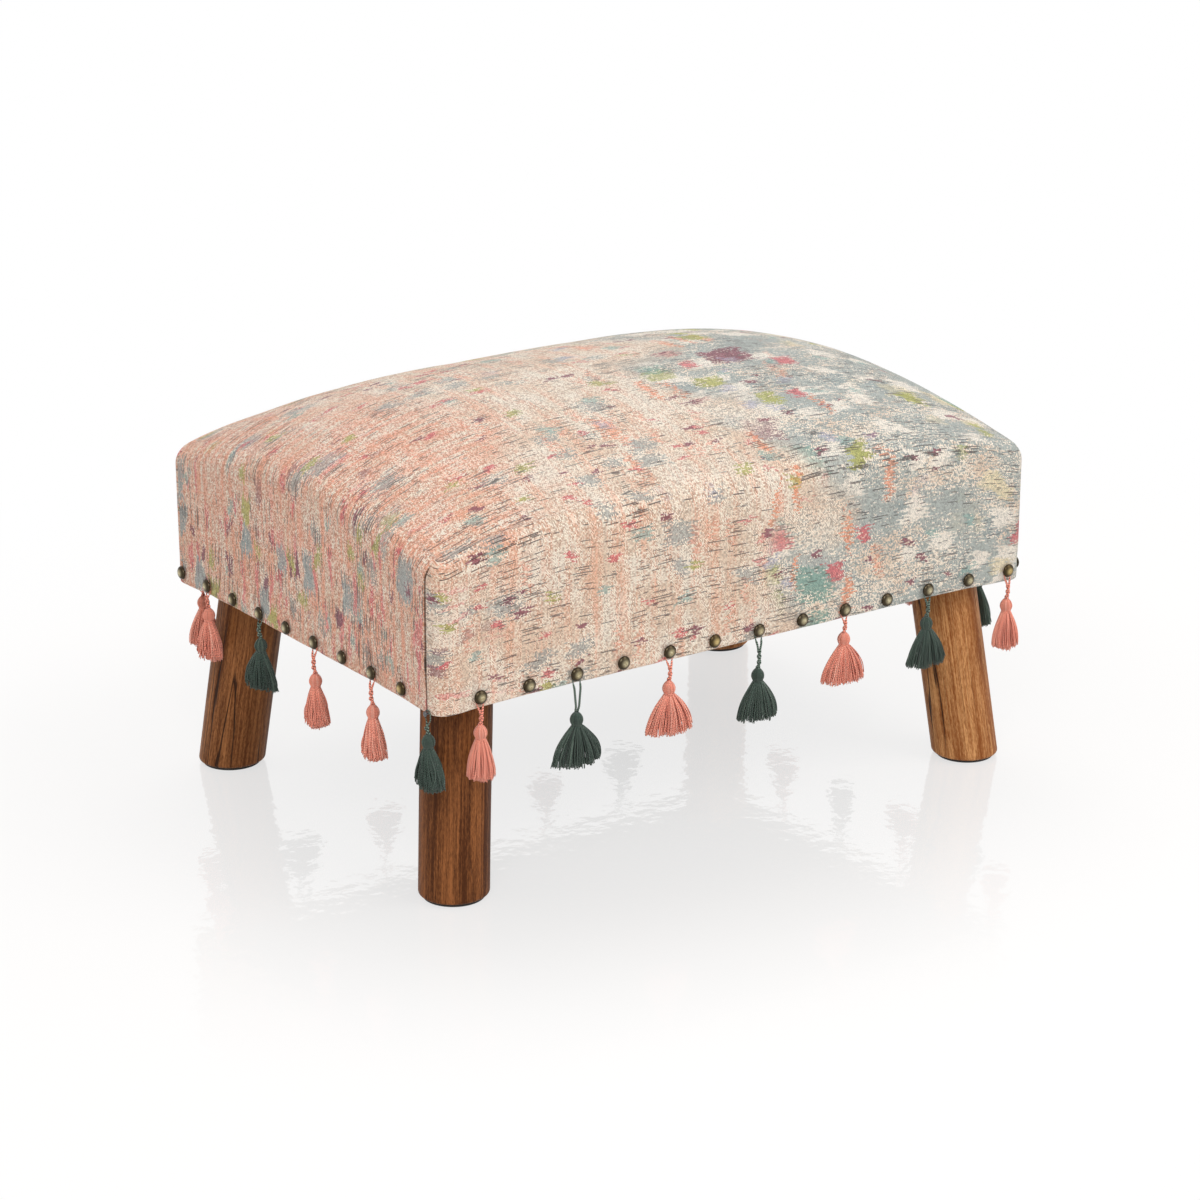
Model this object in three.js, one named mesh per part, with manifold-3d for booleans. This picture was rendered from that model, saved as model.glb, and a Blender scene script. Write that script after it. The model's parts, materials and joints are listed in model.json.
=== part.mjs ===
// An upholstered footstool on four splayed round legs, with tassels hung over its nails.
// Millimetres. X runs along the stool, Y across it and Z up.
// The origin is on the floor, under the middle.
import * as THREE from 'three';
import { mergeVertices } from 'three/addons/utils/BufferGeometryUtils.js';
import Module from 'manifold-3d';

const wasm = await Module();
wasm.setup();

// Driving sizes of the whole stool
const stoolLength = 600;
const stoolDepth = 420;
const hemHeight = 167.5;

// The top: its corners stand lowest, the edges rise to their middles and the centre rises most
const cornerRise = 113.5;
const longEdgeRise = 20;
const shortEdgeRise = 28;
const centreRise = 31;
const longEdgePower = 5;
const shortEdgePower = 1.6;
const centrePower = 3;
const edgeRadius = 12;
const cornerRadius = 8;

// Layers, from the outside in
const clothThickness = 1.2;
const battingThickness = 4;
const deckThickness = 9;
const dustClothThickness = 0.6;
const underTurn = 25;
const dustCoverInset = 14;

// Frame
const railThickness = 20;
const railHeight = 62;
const blockSize = 56;
const blockHeight = 42;
const blockChamfer = 22;

// Legs: round, splayed outwards both ways, cut level with the floor at both ends
const legDiameter = 58;
const legFootInsetAlong = 31.6;
const legFootInsetAcross = 30.7;
const legSplayAlong = 0.108;
const legSplayAcross = 0.117;
const footEdgeRadius = 2.5;
const padDiameter = 50;
const padThickness = 2.5;

// Bolt that joins each leg to its corner block
const boltDiameter = 8;
const boltScrewDiameter = 7;
const boltScrewLength = 28;
const boltThreadLength = 30;
const boltTip = 4;

// Round-head nails: their rows, and the strip of board behind the cloth that they go through
const nailHeadDiameter = 11.6;
const nailHeadHeight = 3;
const nailShankDiameter = 2;
const nailGrip = 10;
const nailAboveHem = 8;
const longRowNailCount = 13;
const shortRowNailCount = 9;
const frontRowStart = 38;
const frontRowEnd = 19;
const backRowStart = 33;
const backRowEnd = 27;
const leftRowStart = 16;
const leftRowEnd = 50;
const rightRowStart = 14;
const rightRowEnd = 48;
const stripThickness = 1.6;
const stripHeight = 12;
const stripAboveHem = 2.5;
const stripEndInset = 9;

// Tassels: a yarn loop over the nail's shank, a bound head and a flattened skirt
const yarnDiameter = 1.3;
const loopRadius = 2.8;
const loopDrop = 32;
const headDiameter = 11;
const headHeight = 11;
const neckDiameter = 8;
const skirtLength = 35.5;
const skirtHalfWidth = 23.5;
const skirtHalfDepth = 10;
const frontDropShares = [0.72, 1, 0.78, 1.03, 0.62, 0.75, 0.8];
const frontSpreadShares = [0.53, 1, 1, 0.86, 0.94, 0.9, 0.58];
const backDropShares = [0.8, 0.92, 0.7, 0.86, 1, 0.74, 0.97];
const backSpreadShares = [0.6, 0.9, 0.82, 1, 0.78, 0.92, 0.62];
const leftDropShares = [0.63, 0.69, 0.84, 0.84];
const leftSpreadShares = [0.78, 0.97, 0.61, 0.61];
const rightDropShares = [0.75, 0.9, 0.7, 0.82];
const rightSpreadShares = [0.7, 0.88, 0.66, 0.8];

// The hooked tack under the near corner, which carries the one tassel that has no nail
const tackDiameter = 1.8;
const tackHeadDiameter = 4.8;
const tackHeadThickness = 1;
const tackGrip = 14;
const tackFromCorner = 13;
const tackInset = 10;
const tackReach = 3.6;
const cornerDropShare = 0.53;
const cornerSpreadShare = 0.77;

// Clearances
const seatGap = 0.3;
const shankGap = 0.45;
const boltGap = 0.3;
const overrun = 2;

// Mesh fineness
const legSideCount = 24;
const padSideCount = 16;
const boltSideCount = 10;
const nailSideCount = 8;
const squareSideCount = 4;
const skirtSideCount = 8;
const loopStepCount = 18;
const loopSideCount = 4;
const longSideStepCount = 8;
const shortSideStepCount = 6;
const cornerStepCount = 2;

// Places that follow from the sizes above
const halfLength = stoolLength / 2;
const halfDepth = stoolDepth / 2;
const nailHeight = hemHeight + nailAboveHem;
const battingInset = clothThickness + seatGap;
const coreInset = battingInset + battingThickness + seatGap;
const frameBottom = hemHeight + clothThickness + seatGap;
const frameHalfLength = halfLength - coreInset;
const frameHalfDepth = halfDepth - coreInset;
const deckBottom = frameBottom + railHeight + seatGap;
const foamBottom = deckBottom + deckThickness + seatGap;
const stripBottom = hemHeight + stripAboveHem;
const stripTop = stripBottom + stripHeight;
const dustCoverTop = hemHeight - seatGap;
const dustCoverBottom = dustCoverTop - dustClothThickness;
const legTop = dustCoverBottom - seatGap;
const legBottom = padThickness + seatGap;
const legFootAlong = halfLength - legFootInsetAlong;
const legFootAcross = halfDepth - legFootInsetAcross;
const loopStandOff = seatGap + yarnDiameter / 2;
const headStandOff = seatGap + yarnDiameter + seatGap;
const nailBite = coreInset + nailGrip;

const materials = {
  cloth: new THREE.MeshStandardMaterial({ color: 0xd8b8a4, roughness: 0.95, metalness: 0 }),
  batting: new THREE.MeshStandardMaterial({ color: 0xf2f0ea, roughness: 1, metalness: 0 }),
  foam: new THREE.MeshStandardMaterial({ color: 0xe9dfae, roughness: 1, metalness: 0 }),
  plywood: new THREE.MeshStandardMaterial({ color: 0xc9a676, roughness: 0.8, metalness: 0 }),
  softwood: new THREE.MeshStandardMaterial({ color: 0xd9bd8f, roughness: 0.8, metalness: 0 }),
  hardwood: new THREE.MeshStandardMaterial({ color: 0x82522f, roughness: 0.45, metalness: 0 }),
  steel: new THREE.MeshStandardMaterial({ color: 0xb4b4b0, roughness: 0.35, metalness: 1 }),
  brass: new THREE.MeshStandardMaterial({ color: 0x7b6a48, roughness: 0.35, metalness: 1 }),
  rubber: new THREE.MeshStandardMaterial({ color: 0x26221f, roughness: 0.8, metalness: 0 }),
  dustCloth: new THREE.MeshStandardMaterial({ color: 0x232323, roughness: 0.95, metalness: 0 }),
  pinkYarn: new THREE.MeshStandardMaterial({ color: 0xd97e6c, roughness: 0.9, metalness: 0 }),
  greenYarn: new THREE.MeshStandardMaterial({ color: 0x3a544a, roughness: 0.9, metalness: 0 }),
};

const stool = new THREE.Group();

function addPiece(name, geometry, material) {
  const mesh = new THREE.Mesh(geometry, material);
  mesh.name = name;
  stool.add(mesh);
  return mesh;
}

// A closed geometry as a solid that can be cut and joined
function toSolid(geometry) {
  const bare = geometry.clone();
  bare.deleteAttribute('normal');
  bare.deleteAttribute('uv');
  const merged = mergeVertices(bare);
  return new wasm.Manifold(new wasm.Mesh({
    numProp: 3,
    vertProperties: merged.attributes.position.array,
    triVerts: merged.index.array,
  }));
}

function toGeometry(solid) {
  const mesh = solid.getMesh();
  const geometry = new THREE.BufferGeometry();
  geometry.setAttribute('position', new THREE.BufferAttribute(mesh.vertProperties, 3));
  geometry.setIndex(new THREE.BufferAttribute(mesh.triVerts, 1));
  geometry.computeVertexNormals();
  return geometry;
}

// One closed skin over a list of rings of Vector3, each with as many points as the next.
// The first and last ring are closed by a fan about their own middle, or about the point given.
function loft(rings, firstPoint, lastPoint) {
  const count = rings[0].length;
  const points = rings.flat();
  const faces = [];
  for (let ring = 0; ring < rings.length - 1; ring += 1) {
    for (let step = 0; step < count; step += 1) {
      const next = (step + 1) % count;
      const a = ring * count + step;
      const b = ring * count + next;
      faces.push(a, a + count, b, b, a + count, b + count);
    }
  }
  const middle = (ring) => (
    ring.reduce((sum, point) => sum.add(point), new THREE.Vector3()).divideScalar(count)
  );
  const first = points.length;
  points.push(firstPoint ?? middle(rings[0]), lastPoint ?? middle(rings.at(-1)));
  const base = (rings.length - 1) * count;
  for (let step = 0; step < count; step += 1) {
    const next = (step + 1) % count;
    faces.push(first, step, next, first + 1, base + next, base + step);
  }
  const geometry = new THREE.BufferGeometry().setFromPoints(points);
  geometry.setIndex(faces);
  geometry.computeVertexNormals();
  return geometry;
}

function ellipseRing(halfX, halfY, height, sides) {
  const ring = [];
  for (let side = 0; side < sides; side += 1) {
    const turn = (side / sides) * 2 * Math.PI;
    ring.push(new THREE.Vector3(halfX * Math.cos(turn), halfY * Math.sin(turn), height));
  }
  return ring;
}

// The stool's plan, a rectangle with rounded corners, as points in shares of its half sizes
function planShares() {
  const alongShare = 1 - cornerRadius / halfLength;
  const acrossShare = 1 - cornerRadius / halfDepth;
  const corners = [[1, 1], [-1, 1], [-1, -1], [1, -1]];
  const shares = [];
  corners.forEach(([signX, signY], index) => {
    const startTurn = (index * Math.PI) / 2;
    for (let step = 0; step <= cornerStepCount; step += 1) {
      const turn = startTurn + (step / cornerStepCount) * (Math.PI / 2);
      shares.push([
        signX * alongShare + (cornerRadius / halfLength) * Math.cos(turn),
        signY * acrossShare + (cornerRadius / halfDepth) * Math.sin(turn),
      ]);
    }
    const [endX, endY] = shares.at(-1);
    const isLong = index % 2 === 0;
    const steps = isLong ? longSideStepCount : shortSideStepCount;
    for (let step = 1; step < steps; step += 1) {
      const run = 1 - (2 * step) / steps;
      shares.push(isLong ? [endX * run, endY] : [endX, endY * run]);
    }
  });
  return shares;
}

const plan = planShares();

function crownHeight(shareX, shareY) {
  const alongRise = longEdgeRise * (1 - Math.abs(shareX) ** longEdgePower);
  const acrossRise = shortEdgeRise * (1 - Math.abs(shareY) ** shortEdgePower);
  const middleRise = centreRise
    * (1 - Math.abs(shareX) ** centrePower) * (1 - Math.abs(shareY) ** centrePower);
  return hemHeight + cornerRise + alongRise + acrossRise + middleRise;
}

// The rings of one layer of the crowned block, from its middle out and down to a level edge
function crownRings(inset, bottom) {
  const halfX = halfLength - inset;
  const halfY = halfDepth - inset;
  const round = edgeRadius - inset;
  const ring = (sideInset, share, drop) => plan.map(([planX, planY]) => {
    const x = planX * share * (1 - sideInset / halfX);
    const y = planY * share * (1 - sideInset / halfY);
    return new THREE.Vector3(x * halfX, y * halfY, crownHeight(x, y) - inset - drop);
  });
  const crownShares = [0.3, 0.55, 0.78, 1];
  const roundTurns = [Math.PI / 5, Math.PI / 3, Math.PI / 2];
  const rings = crownShares.map((share) => ring(round, share, 0));
  roundTurns.forEach((turn) => {
    rings.push(ring(round * (1 - Math.sin(turn)), 1, round * (1 - Math.cos(turn))));
  });
  rings.push(plan.map(([planX, planY]) => new THREE.Vector3(planX * halfX, planY * halfY, bottom)));
  return rings;
}

function crownTop(inset) {
  return new THREE.Vector3(0, 0, crownHeight(0, 0) - inset);
}

function levelRing(inset, height) {
  return plan.map(([planX, planY]) => (
    new THREE.Vector3(planX * (halfLength - inset), planY * (halfDepth - inset), height)
  ));
}

// Each side of the stool: its outward direction, and where its nails and tassels are.
// A row is counted along its side in the sense that turns anticlockwise, seen from above.
function nailPlaces(count, length, start, end) {
  const pitch = (length - start - end) / (count - 1);
  return Array.from({ length: count }, (_, index) => start + index * pitch - length / 2);
}

// The nails of a row that hold a tassel: every second one, with or without the first
function everySecondNail(count, withFirst) {
  const nails = Array.from({ length: count }, (_, index) => index);
  return nails.filter((index) => (index % 2 === 0) === withFirst);
}

const sides = {
  front: {
    turn: 0,
    reach: halfDepth,
    places: nailPlaces(longRowNailCount, stoolLength, frontRowStart, frontRowEnd),
    tasselNails: everySecondNail(longRowNailCount, true),
    colours: ['pink', 'green', 'pink', 'green', 'pink', 'green', 'pink'],
    dropShares: frontDropShares,
    spreadShares: frontSpreadShares,
    stripHalf: halfLength - stripEndInset,
  },
  right: {
    turn: Math.PI / 2,
    reach: halfLength,
    places: nailPlaces(shortRowNailCount, stoolDepth, rightRowStart, rightRowEnd),
    tasselNails: everySecondNail(shortRowNailCount, false),
    colours: ['green', 'pink', 'green', 'pink'],
    dropShares: rightDropShares,
    spreadShares: rightSpreadShares,
    stripHalf: halfDepth - stripEndInset,
  },
  back: {
    turn: Math.PI,
    reach: halfDepth,
    places: nailPlaces(longRowNailCount, stoolLength, backRowStart, backRowEnd),
    tasselNails: everySecondNail(longRowNailCount, true),
    colours: ['pink', 'green', 'pink', 'green', 'pink', 'green', 'pink'],
    dropShares: backDropShares,
    spreadShares: backSpreadShares,
    stripHalf: halfLength - stripEndInset,
  },
  left: {
    turn: -Math.PI / 2,
    reach: halfLength,
    places: nailPlaces(shortRowNailCount, stoolDepth, leftRowStart, leftRowEnd),
    tasselNails: everySecondNail(shortRowNailCount, false),
    colours: ['pink', 'green', 'pink', 'pink'],
    dropShares: leftDropShares,
    spreadShares: leftSpreadShares,
    stripHalf: halfDepth - stripEndInset,
  },
};

// A geometry drawn against the front side goes to its own side.
// It is drawn with X along that side and -Y outwards, from the cloth's face.
function placeOnSide(geometry, side, along, height) {
  geometry.translate(along, -side.reach, height);
  geometry.rotateZ(side.turn);
  return geometry;
}

// A square bar that starts at outside and runs inwards, across the side
function inwardBar(radius, outside, inside) {
  const bar = new THREE.CylinderGeometry(radius, radius, outside + inside, squareSideCount);
  bar.translate(0, (inside - outside) / 2, 0);
  return bar;
}

function cutAll(solid, cuts) {
  return cuts.reduce((left, cut) => left.subtract(toSolid(cut)), solid);
}

function shankHoles(side) {
  const radius = nailShankDiameter / 2 + shankGap;
  return side.places.map((along) => placeOnSide(
    inwardBar(radius, overrun, nailBite + seatGap), side, along, nailHeight,
  ));
}

// The hooked tack stands in the frame near the left end of the front rail
const tackHeight = hemHeight - seatGap - tackDiameter / 2 - seatGap;
const tackX = -halfLength + tackInset;
const tackY = -halfDepth + tackFromCorner;

function tackHole() {
  const radius = tackDiameter / 2 + shankGap;
  const depth = tackGrip + seatGap;
  const hole = new THREE.CylinderGeometry(
    radius, radius, depth + overrun + clothThickness, squareSideCount,
  );
  hole.rotateX(Math.PI / 2);
  hole.translate(tackX, tackY, frameBottom + depth - (depth + overrun + clothThickness) / 2);
  return hole;
}

function crownBlock(inset, bottom) {
  return toSolid(loft(crownRings(inset, bottom), crownTop(inset)));
}

// The cover: one cloth over the top and sides, turned in under the frame
function makeCover() {
  const room = crownBlock(clothThickness, hemHeight + clothThickness);
  const opening = toSolid(loft([
    levelRing(underTurn, hemHeight + clothThickness + overrun),
    levelRing(underTurn, hemHeight - overrun),
  ]));
  const shell = crownBlock(0, hemHeight).subtract(room).subtract(opening);
  const cuts = Object.values(sides).flatMap(shankHoles);
  return toGeometry(cutAll(shell, [...cuts, tackHole()]));
}

function makeBatting() {
  const bottom = stripTop + seatGap;
  const room = crownBlock(battingInset + battingThickness, bottom - overrun);
  return toGeometry(crownBlock(battingInset, bottom).subtract(room));
}

function makeFoam() {
  return toGeometry(crownBlock(coreInset, foamBottom));
}

addPiece('cover', makeCover(), materials.cloth);
addPiece('batting', makeBatting(), materials.batting);
addPiece('foam_block', makeFoam(), materials.foam);

// A slab with the stool's rounded plan, set in from its outside
function planSlab(inset, bottom, top) {
  return loft([levelRing(inset, top), levelRing(inset, bottom)]);
}

addPiece('deck', planSlab(coreInset, deckBottom, deckBottom + deckThickness), materials.plywood);

// Rails: the front and back ones run the full length, and the side ones fit between them
const longRail = new THREE.BoxGeometry(2 * frameHalfLength, railThickness, railHeight);
const shortRailHalf = frameHalfDepth - railThickness - seatGap;
const shortRail = new THREE.BoxGeometry(railThickness, 2 * shortRailHalf, railHeight);
const railCentreZ = frameBottom + railHeight / 2;
const railCentreY = frameHalfDepth - railThickness / 2;
const railCentreX = frameHalfLength - railThickness / 2;

function makeRail(blank, x, y, extraCuts) {
  const placed = toSolid(blank.clone().translate(x, y, railCentreZ));
  const rounded = placed.intersect(toSolid(planSlab(coreInset, frameBottom - overrun, deckBottom)));
  const cuts = Object.values(sides).flatMap(shankHoles);
  return toGeometry(cutAll(rounded, [...cuts, ...extraCuts]));
}

addPiece('rail_front', makeRail(longRail, 0, -railCentreY, [tackHole()]), materials.softwood);
addPiece('rail_back', makeRail(longRail, 0, railCentreY, []), materials.softwood);
addPiece('rail_left', makeRail(shortRail, -railCentreX, 0, []), materials.softwood);
addPiece('rail_right', makeRail(shortRail, railCentreX, 0, []), materials.softwood);

// Each corner's leg stands on an axis that leans inwards as it rises
const legCorners = {
  front_left: [-1, -1],
  front_right: [1, -1],
  back_right: [1, 1],
  back_left: [-1, 1],
};

function legCentre([signX, signY], height) {
  return new THREE.Vector3(
    signX * (legFootAlong - legSplayAlong * height),
    signY * (legFootAcross - legSplayAcross * height),
    height,
  );
}

function legAxis(corner) {
  return legCentre(corner, legTop).sub(legCentre(corner, 0)).normalize();
}

// A level slice of the leaning round leg is an ellipse, longer along the lean
function legRing(corner, radius, height) {
  const axis = legAxis(corner);
  const lean = Math.atan2(axis.y, axis.x);
  const centre = legCentre(corner, height);
  return ellipseRing(radius / axis.z, radius, 0, legSideCount).map((point) => (
    point.applyAxisAngle(new THREE.Vector3(0, 0, 1), lean).add(centre)
  ));
}

function alongLegAxis(geometry, corner) {
  const upright = new THREE.Vector3(0, 1, 0);
  geometry.applyQuaternion(new THREE.Quaternion().setFromUnitVectors(upright, legAxis(corner)));
  const joint = legCentre(corner, legTop);
  return geometry.translate(joint.x, joint.y, joint.z);
}

function boltHole(corner) {
  const radius = boltDiameter / 2 + boltGap;
  const length = boltScrewLength + boltThreadLength + 2 * boltGap;
  const hole = new THREE.CylinderGeometry(radius, radius, length, boltSideCount);
  hole.translate(0, (boltScrewLength - boltThreadLength) / 2, 0);
  return alongLegAxis(hole, corner);
}

function makeLeg(corner) {
  const radius = legDiameter / 2;
  const blank = loft([
    legRing(corner, radius, legTop),
    legRing(corner, radius, legBottom + footEdgeRadius),
    legRing(corner, radius - footEdgeRadius, legBottom),
  ]);
  return toGeometry(toSolid(blank).subtract(toSolid(boltHole(corner))));
}

function makeFootPad(corner) {
  const radius = padDiameter / 2;
  const centre = legCentre(corner, padThickness);
  const ring = (height) => ellipseRing(radius, radius, height, padSideCount)
    .map((point) => point.add(new THREE.Vector3(centre.x, centre.y, 0)));
  return loft([ring(padThickness), ring(0)]);
}

// Hanger bolt: a wood screw up into the block, and a plain thread down into the leg
function makeHangerBolt(corner) {
  const threadRadius = boltDiameter / 2;
  const screwRadius = boltScrewDiameter / 2;
  const profile = [
    new THREE.Vector2(0, -boltThreadLength),
    new THREE.Vector2(threadRadius, -boltThreadLength),
    new THREE.Vector2(threadRadius, 0),
    new THREE.Vector2(screwRadius, 0),
    new THREE.Vector2(screwRadius, boltScrewLength - boltTip),
    new THREE.Vector2(0, boltScrewLength),
  ];
  return alongLegAxis(new THREE.LatheGeometry(profile, boltSideCount), corner);
}

// Corner block: fills the frame's inner corner, with its free corner cut off
function makeCornerBlock(corner) {
  const [signX, signY] = corner;
  const outerX = signX * (frameHalfLength - railThickness - seatGap);
  const outerY = signY * (frameHalfDepth - railThickness - seatGap);
  const innerX = outerX - signX * blockSize;
  const innerY = outerY - signY * blockSize;
  const outline = new THREE.Shape([
    new THREE.Vector2(outerX, outerY),
    new THREE.Vector2(innerX, outerY),
    new THREE.Vector2(innerX, innerY + signY * blockChamfer),
    new THREE.Vector2(innerX + signX * blockChamfer, innerY),
    new THREE.Vector2(outerX, innerY),
  ]);
  const block = new THREE.ExtrudeGeometry(outline, { depth: blockHeight, bevelEnabled: false });
  block.translate(0, 0, frameBottom);
  return toGeometry(toSolid(block).subtract(toSolid(boltHole(corner))));
}

Object.entries(legCorners).forEach(([name, corner]) => {
  addPiece(`corner_block_${name}`, makeCornerBlock(corner), materials.softwood);
  addPiece(`hanger_bolt_${name}`, makeHangerBolt(corner), materials.steel);
  addPiece(`leg_${name}`, makeLeg(corner), materials.hardwood);
  addPiece(`foot_pad_${name}`, makeFootPad(corner), materials.rubber);
});

// Dust cover: thin black cloth under the frame, which the legs' bolts pass through
function makeDustCover() {
  const sheet = new THREE.BoxGeometry(
    2 * (halfLength - dustCoverInset),
    2 * (halfDepth - dustCoverInset),
    dustClothThickness,
  );
  sheet.translate(0, 0, dustCoverBottom + dustClothThickness / 2);
  return toGeometry(cutAll(toSolid(sheet), Object.values(legCorners).map(boltHole)));
}

addPiece('dust_cover', makeDustCover(), materials.dustCloth);

// A row of nails in its strip of board, which lies against the rails.
// Each nail has a domed head that stands off the cloth by a yarn's thickness.
function makeNailRow(side) {
  const strip = new THREE.BoxGeometry(2 * side.stripHalf, stripThickness, stripHeight);
  const stripInset = coreInset - seatGap - stripThickness / 2;
  strip.translate(0, stripInset, stripBottom + stripHeight / 2 - nailHeight);
  let row = toSolid(placeOnSide(strip, side, 0, nailHeight));
  const headRadius = nailHeadDiameter / 2;
  const domeShares = [[0, 0], [1, 0], [0.78, 0.62], [0, 1]];
  const profile = domeShares.map(([outShare, upShare]) => (
    new THREE.Vector2(headRadius * outShare, nailHeadHeight * upShare)
  ));
  side.places.forEach((along) => {
    const head = new THREE.LatheGeometry(profile, nailSideCount).rotateX(Math.PI);
    head.translate(0, -headStandOff, 0);
    const shank = inwardBar(nailShankDiameter / 2, headStandOff + nailHeadHeight / 2, nailBite);
    row = row.add(toSolid(placeOnSide(shank, side, along, nailHeight)));
    row = row.add(toSolid(placeOnSide(head, side, along, nailHeight)));
  });
  return toGeometry(row);
}

Object.entries(sides).forEach(([name, side]) => {
  addPiece(`nail_row_${name}`, makeNailRow(side), materials.brass);
});

// The hooked tack: up into the front rail's end, and out under the cloth to a small round head
function makeCornerTack() {
  const radius = tackDiameter / 2;
  const standTop = frameBottom + tackGrip;
  const standBottom = tackHeight - radius;
  const stand = new THREE.CylinderGeometry(radius, radius, standTop - standBottom, squareSideCount);
  stand.rotateX(Math.PI / 2);
  stand.translate(tackX, tackY, (standTop + standBottom) / 2);
  const reach = tackInset + tackReach;
  const arm = new THREE.CylinderGeometry(radius, radius, reach, nailSideCount).rotateZ(Math.PI / 2);
  arm.translate(tackX - reach / 2, tackY, tackHeight);
  const knobRadius = tackHeadDiameter / 2;
  const knob = new THREE.CylinderGeometry(knobRadius, knobRadius, tackHeadThickness, nailSideCount);
  knob.rotateZ(Math.PI / 2);
  knob.translate(tackX - reach, tackY, tackHeight);
  return toGeometry(toSolid(stand).add(toSolid(arm)).add(toSolid(knob)));
}

addPiece('corner_tack', makeCornerTack(), materials.steel);

// A tassel, drawn hanging from the point where it turns: the loop, then the head, neck and skirt
function makeTassel(drop, halfWidth, pinRadius) {
  const headRadius = headDiameter / 2;
  const neckRadius = neckDiameter / 2;
  const bodyShares = [
    [0.35, 0.35, 0],
    [0.85, 0.85, 0.16],
    [1, 1, 0.46],
    [0.88, 0.88, 0.78],
  ];
  const skirtShares = [[0.3, 0.62, 0.14], [0.62, 0.84, 0.52], [1, 1, 1]];
  const rings = bodyShares.map(([acrossShare, outShare, downShare]) => (
    ellipseRing(
      headRadius * acrossShare, headRadius * outShare, -drop - headHeight * downShare, skirtSideCount,
    )
  ));
  rings.push(ellipseRing(neckRadius, neckRadius, -drop - headHeight, skirtSideCount));
  skirtShares.forEach(([acrossShare, outShare, downShare]) => {
    const width = Math.max(halfWidth * acrossShare, neckRadius);
    const down = -drop - headHeight - skirtLength * downShare;
    rings.push(ellipseRing(width, skirtHalfDepth * outShare, down, skirtSideCount));
  });
  const body = toSolid(loft(rings));
  const rootHalf = yarnDiameter;
  const centreDrop = loopRadius - yarnDiameter / 2 - pinRadius - seatGap;
  const arc = (turn) => new THREE.Vector3(
    loopRadius * Math.cos(turn), 0, loopRadius * Math.sin(turn) - centreDrop,
  );
  const path = new THREE.CatmullRomCurve3([
    new THREE.Vector3(rootHalf, 0, -drop - yarnDiameter),
    new THREE.Vector3(rootHalf, 0, -drop + yarnDiameter),
    new THREE.Vector3((rootHalf + loopRadius) / 2, 0, -drop / 2),
    arc(0), arc(Math.PI / 4), arc(Math.PI / 2), arc((3 * Math.PI) / 4), arc(Math.PI),
    new THREE.Vector3(-(rootHalf + loopRadius) / 2, 0, -drop / 2),
    new THREE.Vector3(-rootHalf, 0, -drop + yarnDiameter),
    new THREE.Vector3(-rootHalf, 0, -drop - yarnDiameter),
  ]);
  const section = new THREE.Shape();
  section.absarc(0, 0, yarnDiameter / 2, 0, 2 * Math.PI);
  const loop = new THREE.ExtrudeGeometry(section, {
    steps: loopStepCount, extrudePath: path, curveSegments: loopSideCount / 2,
  });
  return toGeometry(body.add(toSolid(loop)));
}

function addTassel(name, side, along, height, geometry, colour) {
  geometry.translate(0, -loopStandOff, 0);
  const material = colour === 'pink' ? materials.pinkYarn : materials.greenYarn;
  addPiece(name, placeOnSide(geometry, side, along, height), material);
}

Object.entries(sides).forEach(([name, side]) => {
  side.tasselNails.forEach((nail, index) => {
    const drop = loopDrop * side.dropShares[index];
    const halfWidth = skirtHalfWidth * side.spreadShares[index];
    const tassel = makeTassel(drop, halfWidth, nailShankDiameter / 2);
    const along = side.places[nail];
    addTassel(`tassel_${name}_${index + 1}`, side, along, nailHeight, tassel, side.colours[index]);
  });
});

const cornerTassel = makeTassel(
  loopDrop * cornerDropShare, skirtHalfWidth * cornerSpreadShare, tackDiameter / 2,
);
addTassel('tassel_corner', sides.left, -tackY, tackHeight, cornerTassel, 'green');

export default stool;
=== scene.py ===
"""An upholstered footstool on four splayed legs, with yarn tassels hung over the nails along its hem.

Metres, +Z up, +X along the stool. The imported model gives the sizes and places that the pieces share.
"""
import itertools
import json
import math
import random

import bmesh
import bpy
import numpy as np
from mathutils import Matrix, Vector, noise


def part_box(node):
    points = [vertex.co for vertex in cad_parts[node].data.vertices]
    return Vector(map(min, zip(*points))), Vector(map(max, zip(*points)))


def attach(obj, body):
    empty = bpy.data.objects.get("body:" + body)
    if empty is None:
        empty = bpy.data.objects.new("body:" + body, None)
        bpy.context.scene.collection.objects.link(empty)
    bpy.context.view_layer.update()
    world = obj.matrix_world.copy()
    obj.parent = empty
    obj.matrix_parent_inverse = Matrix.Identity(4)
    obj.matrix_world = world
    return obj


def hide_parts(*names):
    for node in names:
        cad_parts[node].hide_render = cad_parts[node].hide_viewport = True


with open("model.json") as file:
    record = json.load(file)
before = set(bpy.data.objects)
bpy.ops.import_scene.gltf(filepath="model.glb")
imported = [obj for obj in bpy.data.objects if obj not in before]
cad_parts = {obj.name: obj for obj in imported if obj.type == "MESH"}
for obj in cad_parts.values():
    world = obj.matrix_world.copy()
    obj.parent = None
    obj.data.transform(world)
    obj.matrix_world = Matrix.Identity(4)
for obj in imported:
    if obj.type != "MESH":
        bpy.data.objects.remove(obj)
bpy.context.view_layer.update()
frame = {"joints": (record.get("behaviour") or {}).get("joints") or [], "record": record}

# The camera looks at the stool's near left corner from a little above, through a long lens.
# Its place and lens were fitted to the stool's outline, nails and feet.
camera_azimuth = math.radians(-35.34)
camera_elevation = math.radians(18.61)
camera_distance = 2.894
camera_shift_right = 0.0006
camera_shift_up = 0.1377
camera_lens_mm = 98.64
sensor_mm = 36.0

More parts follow.
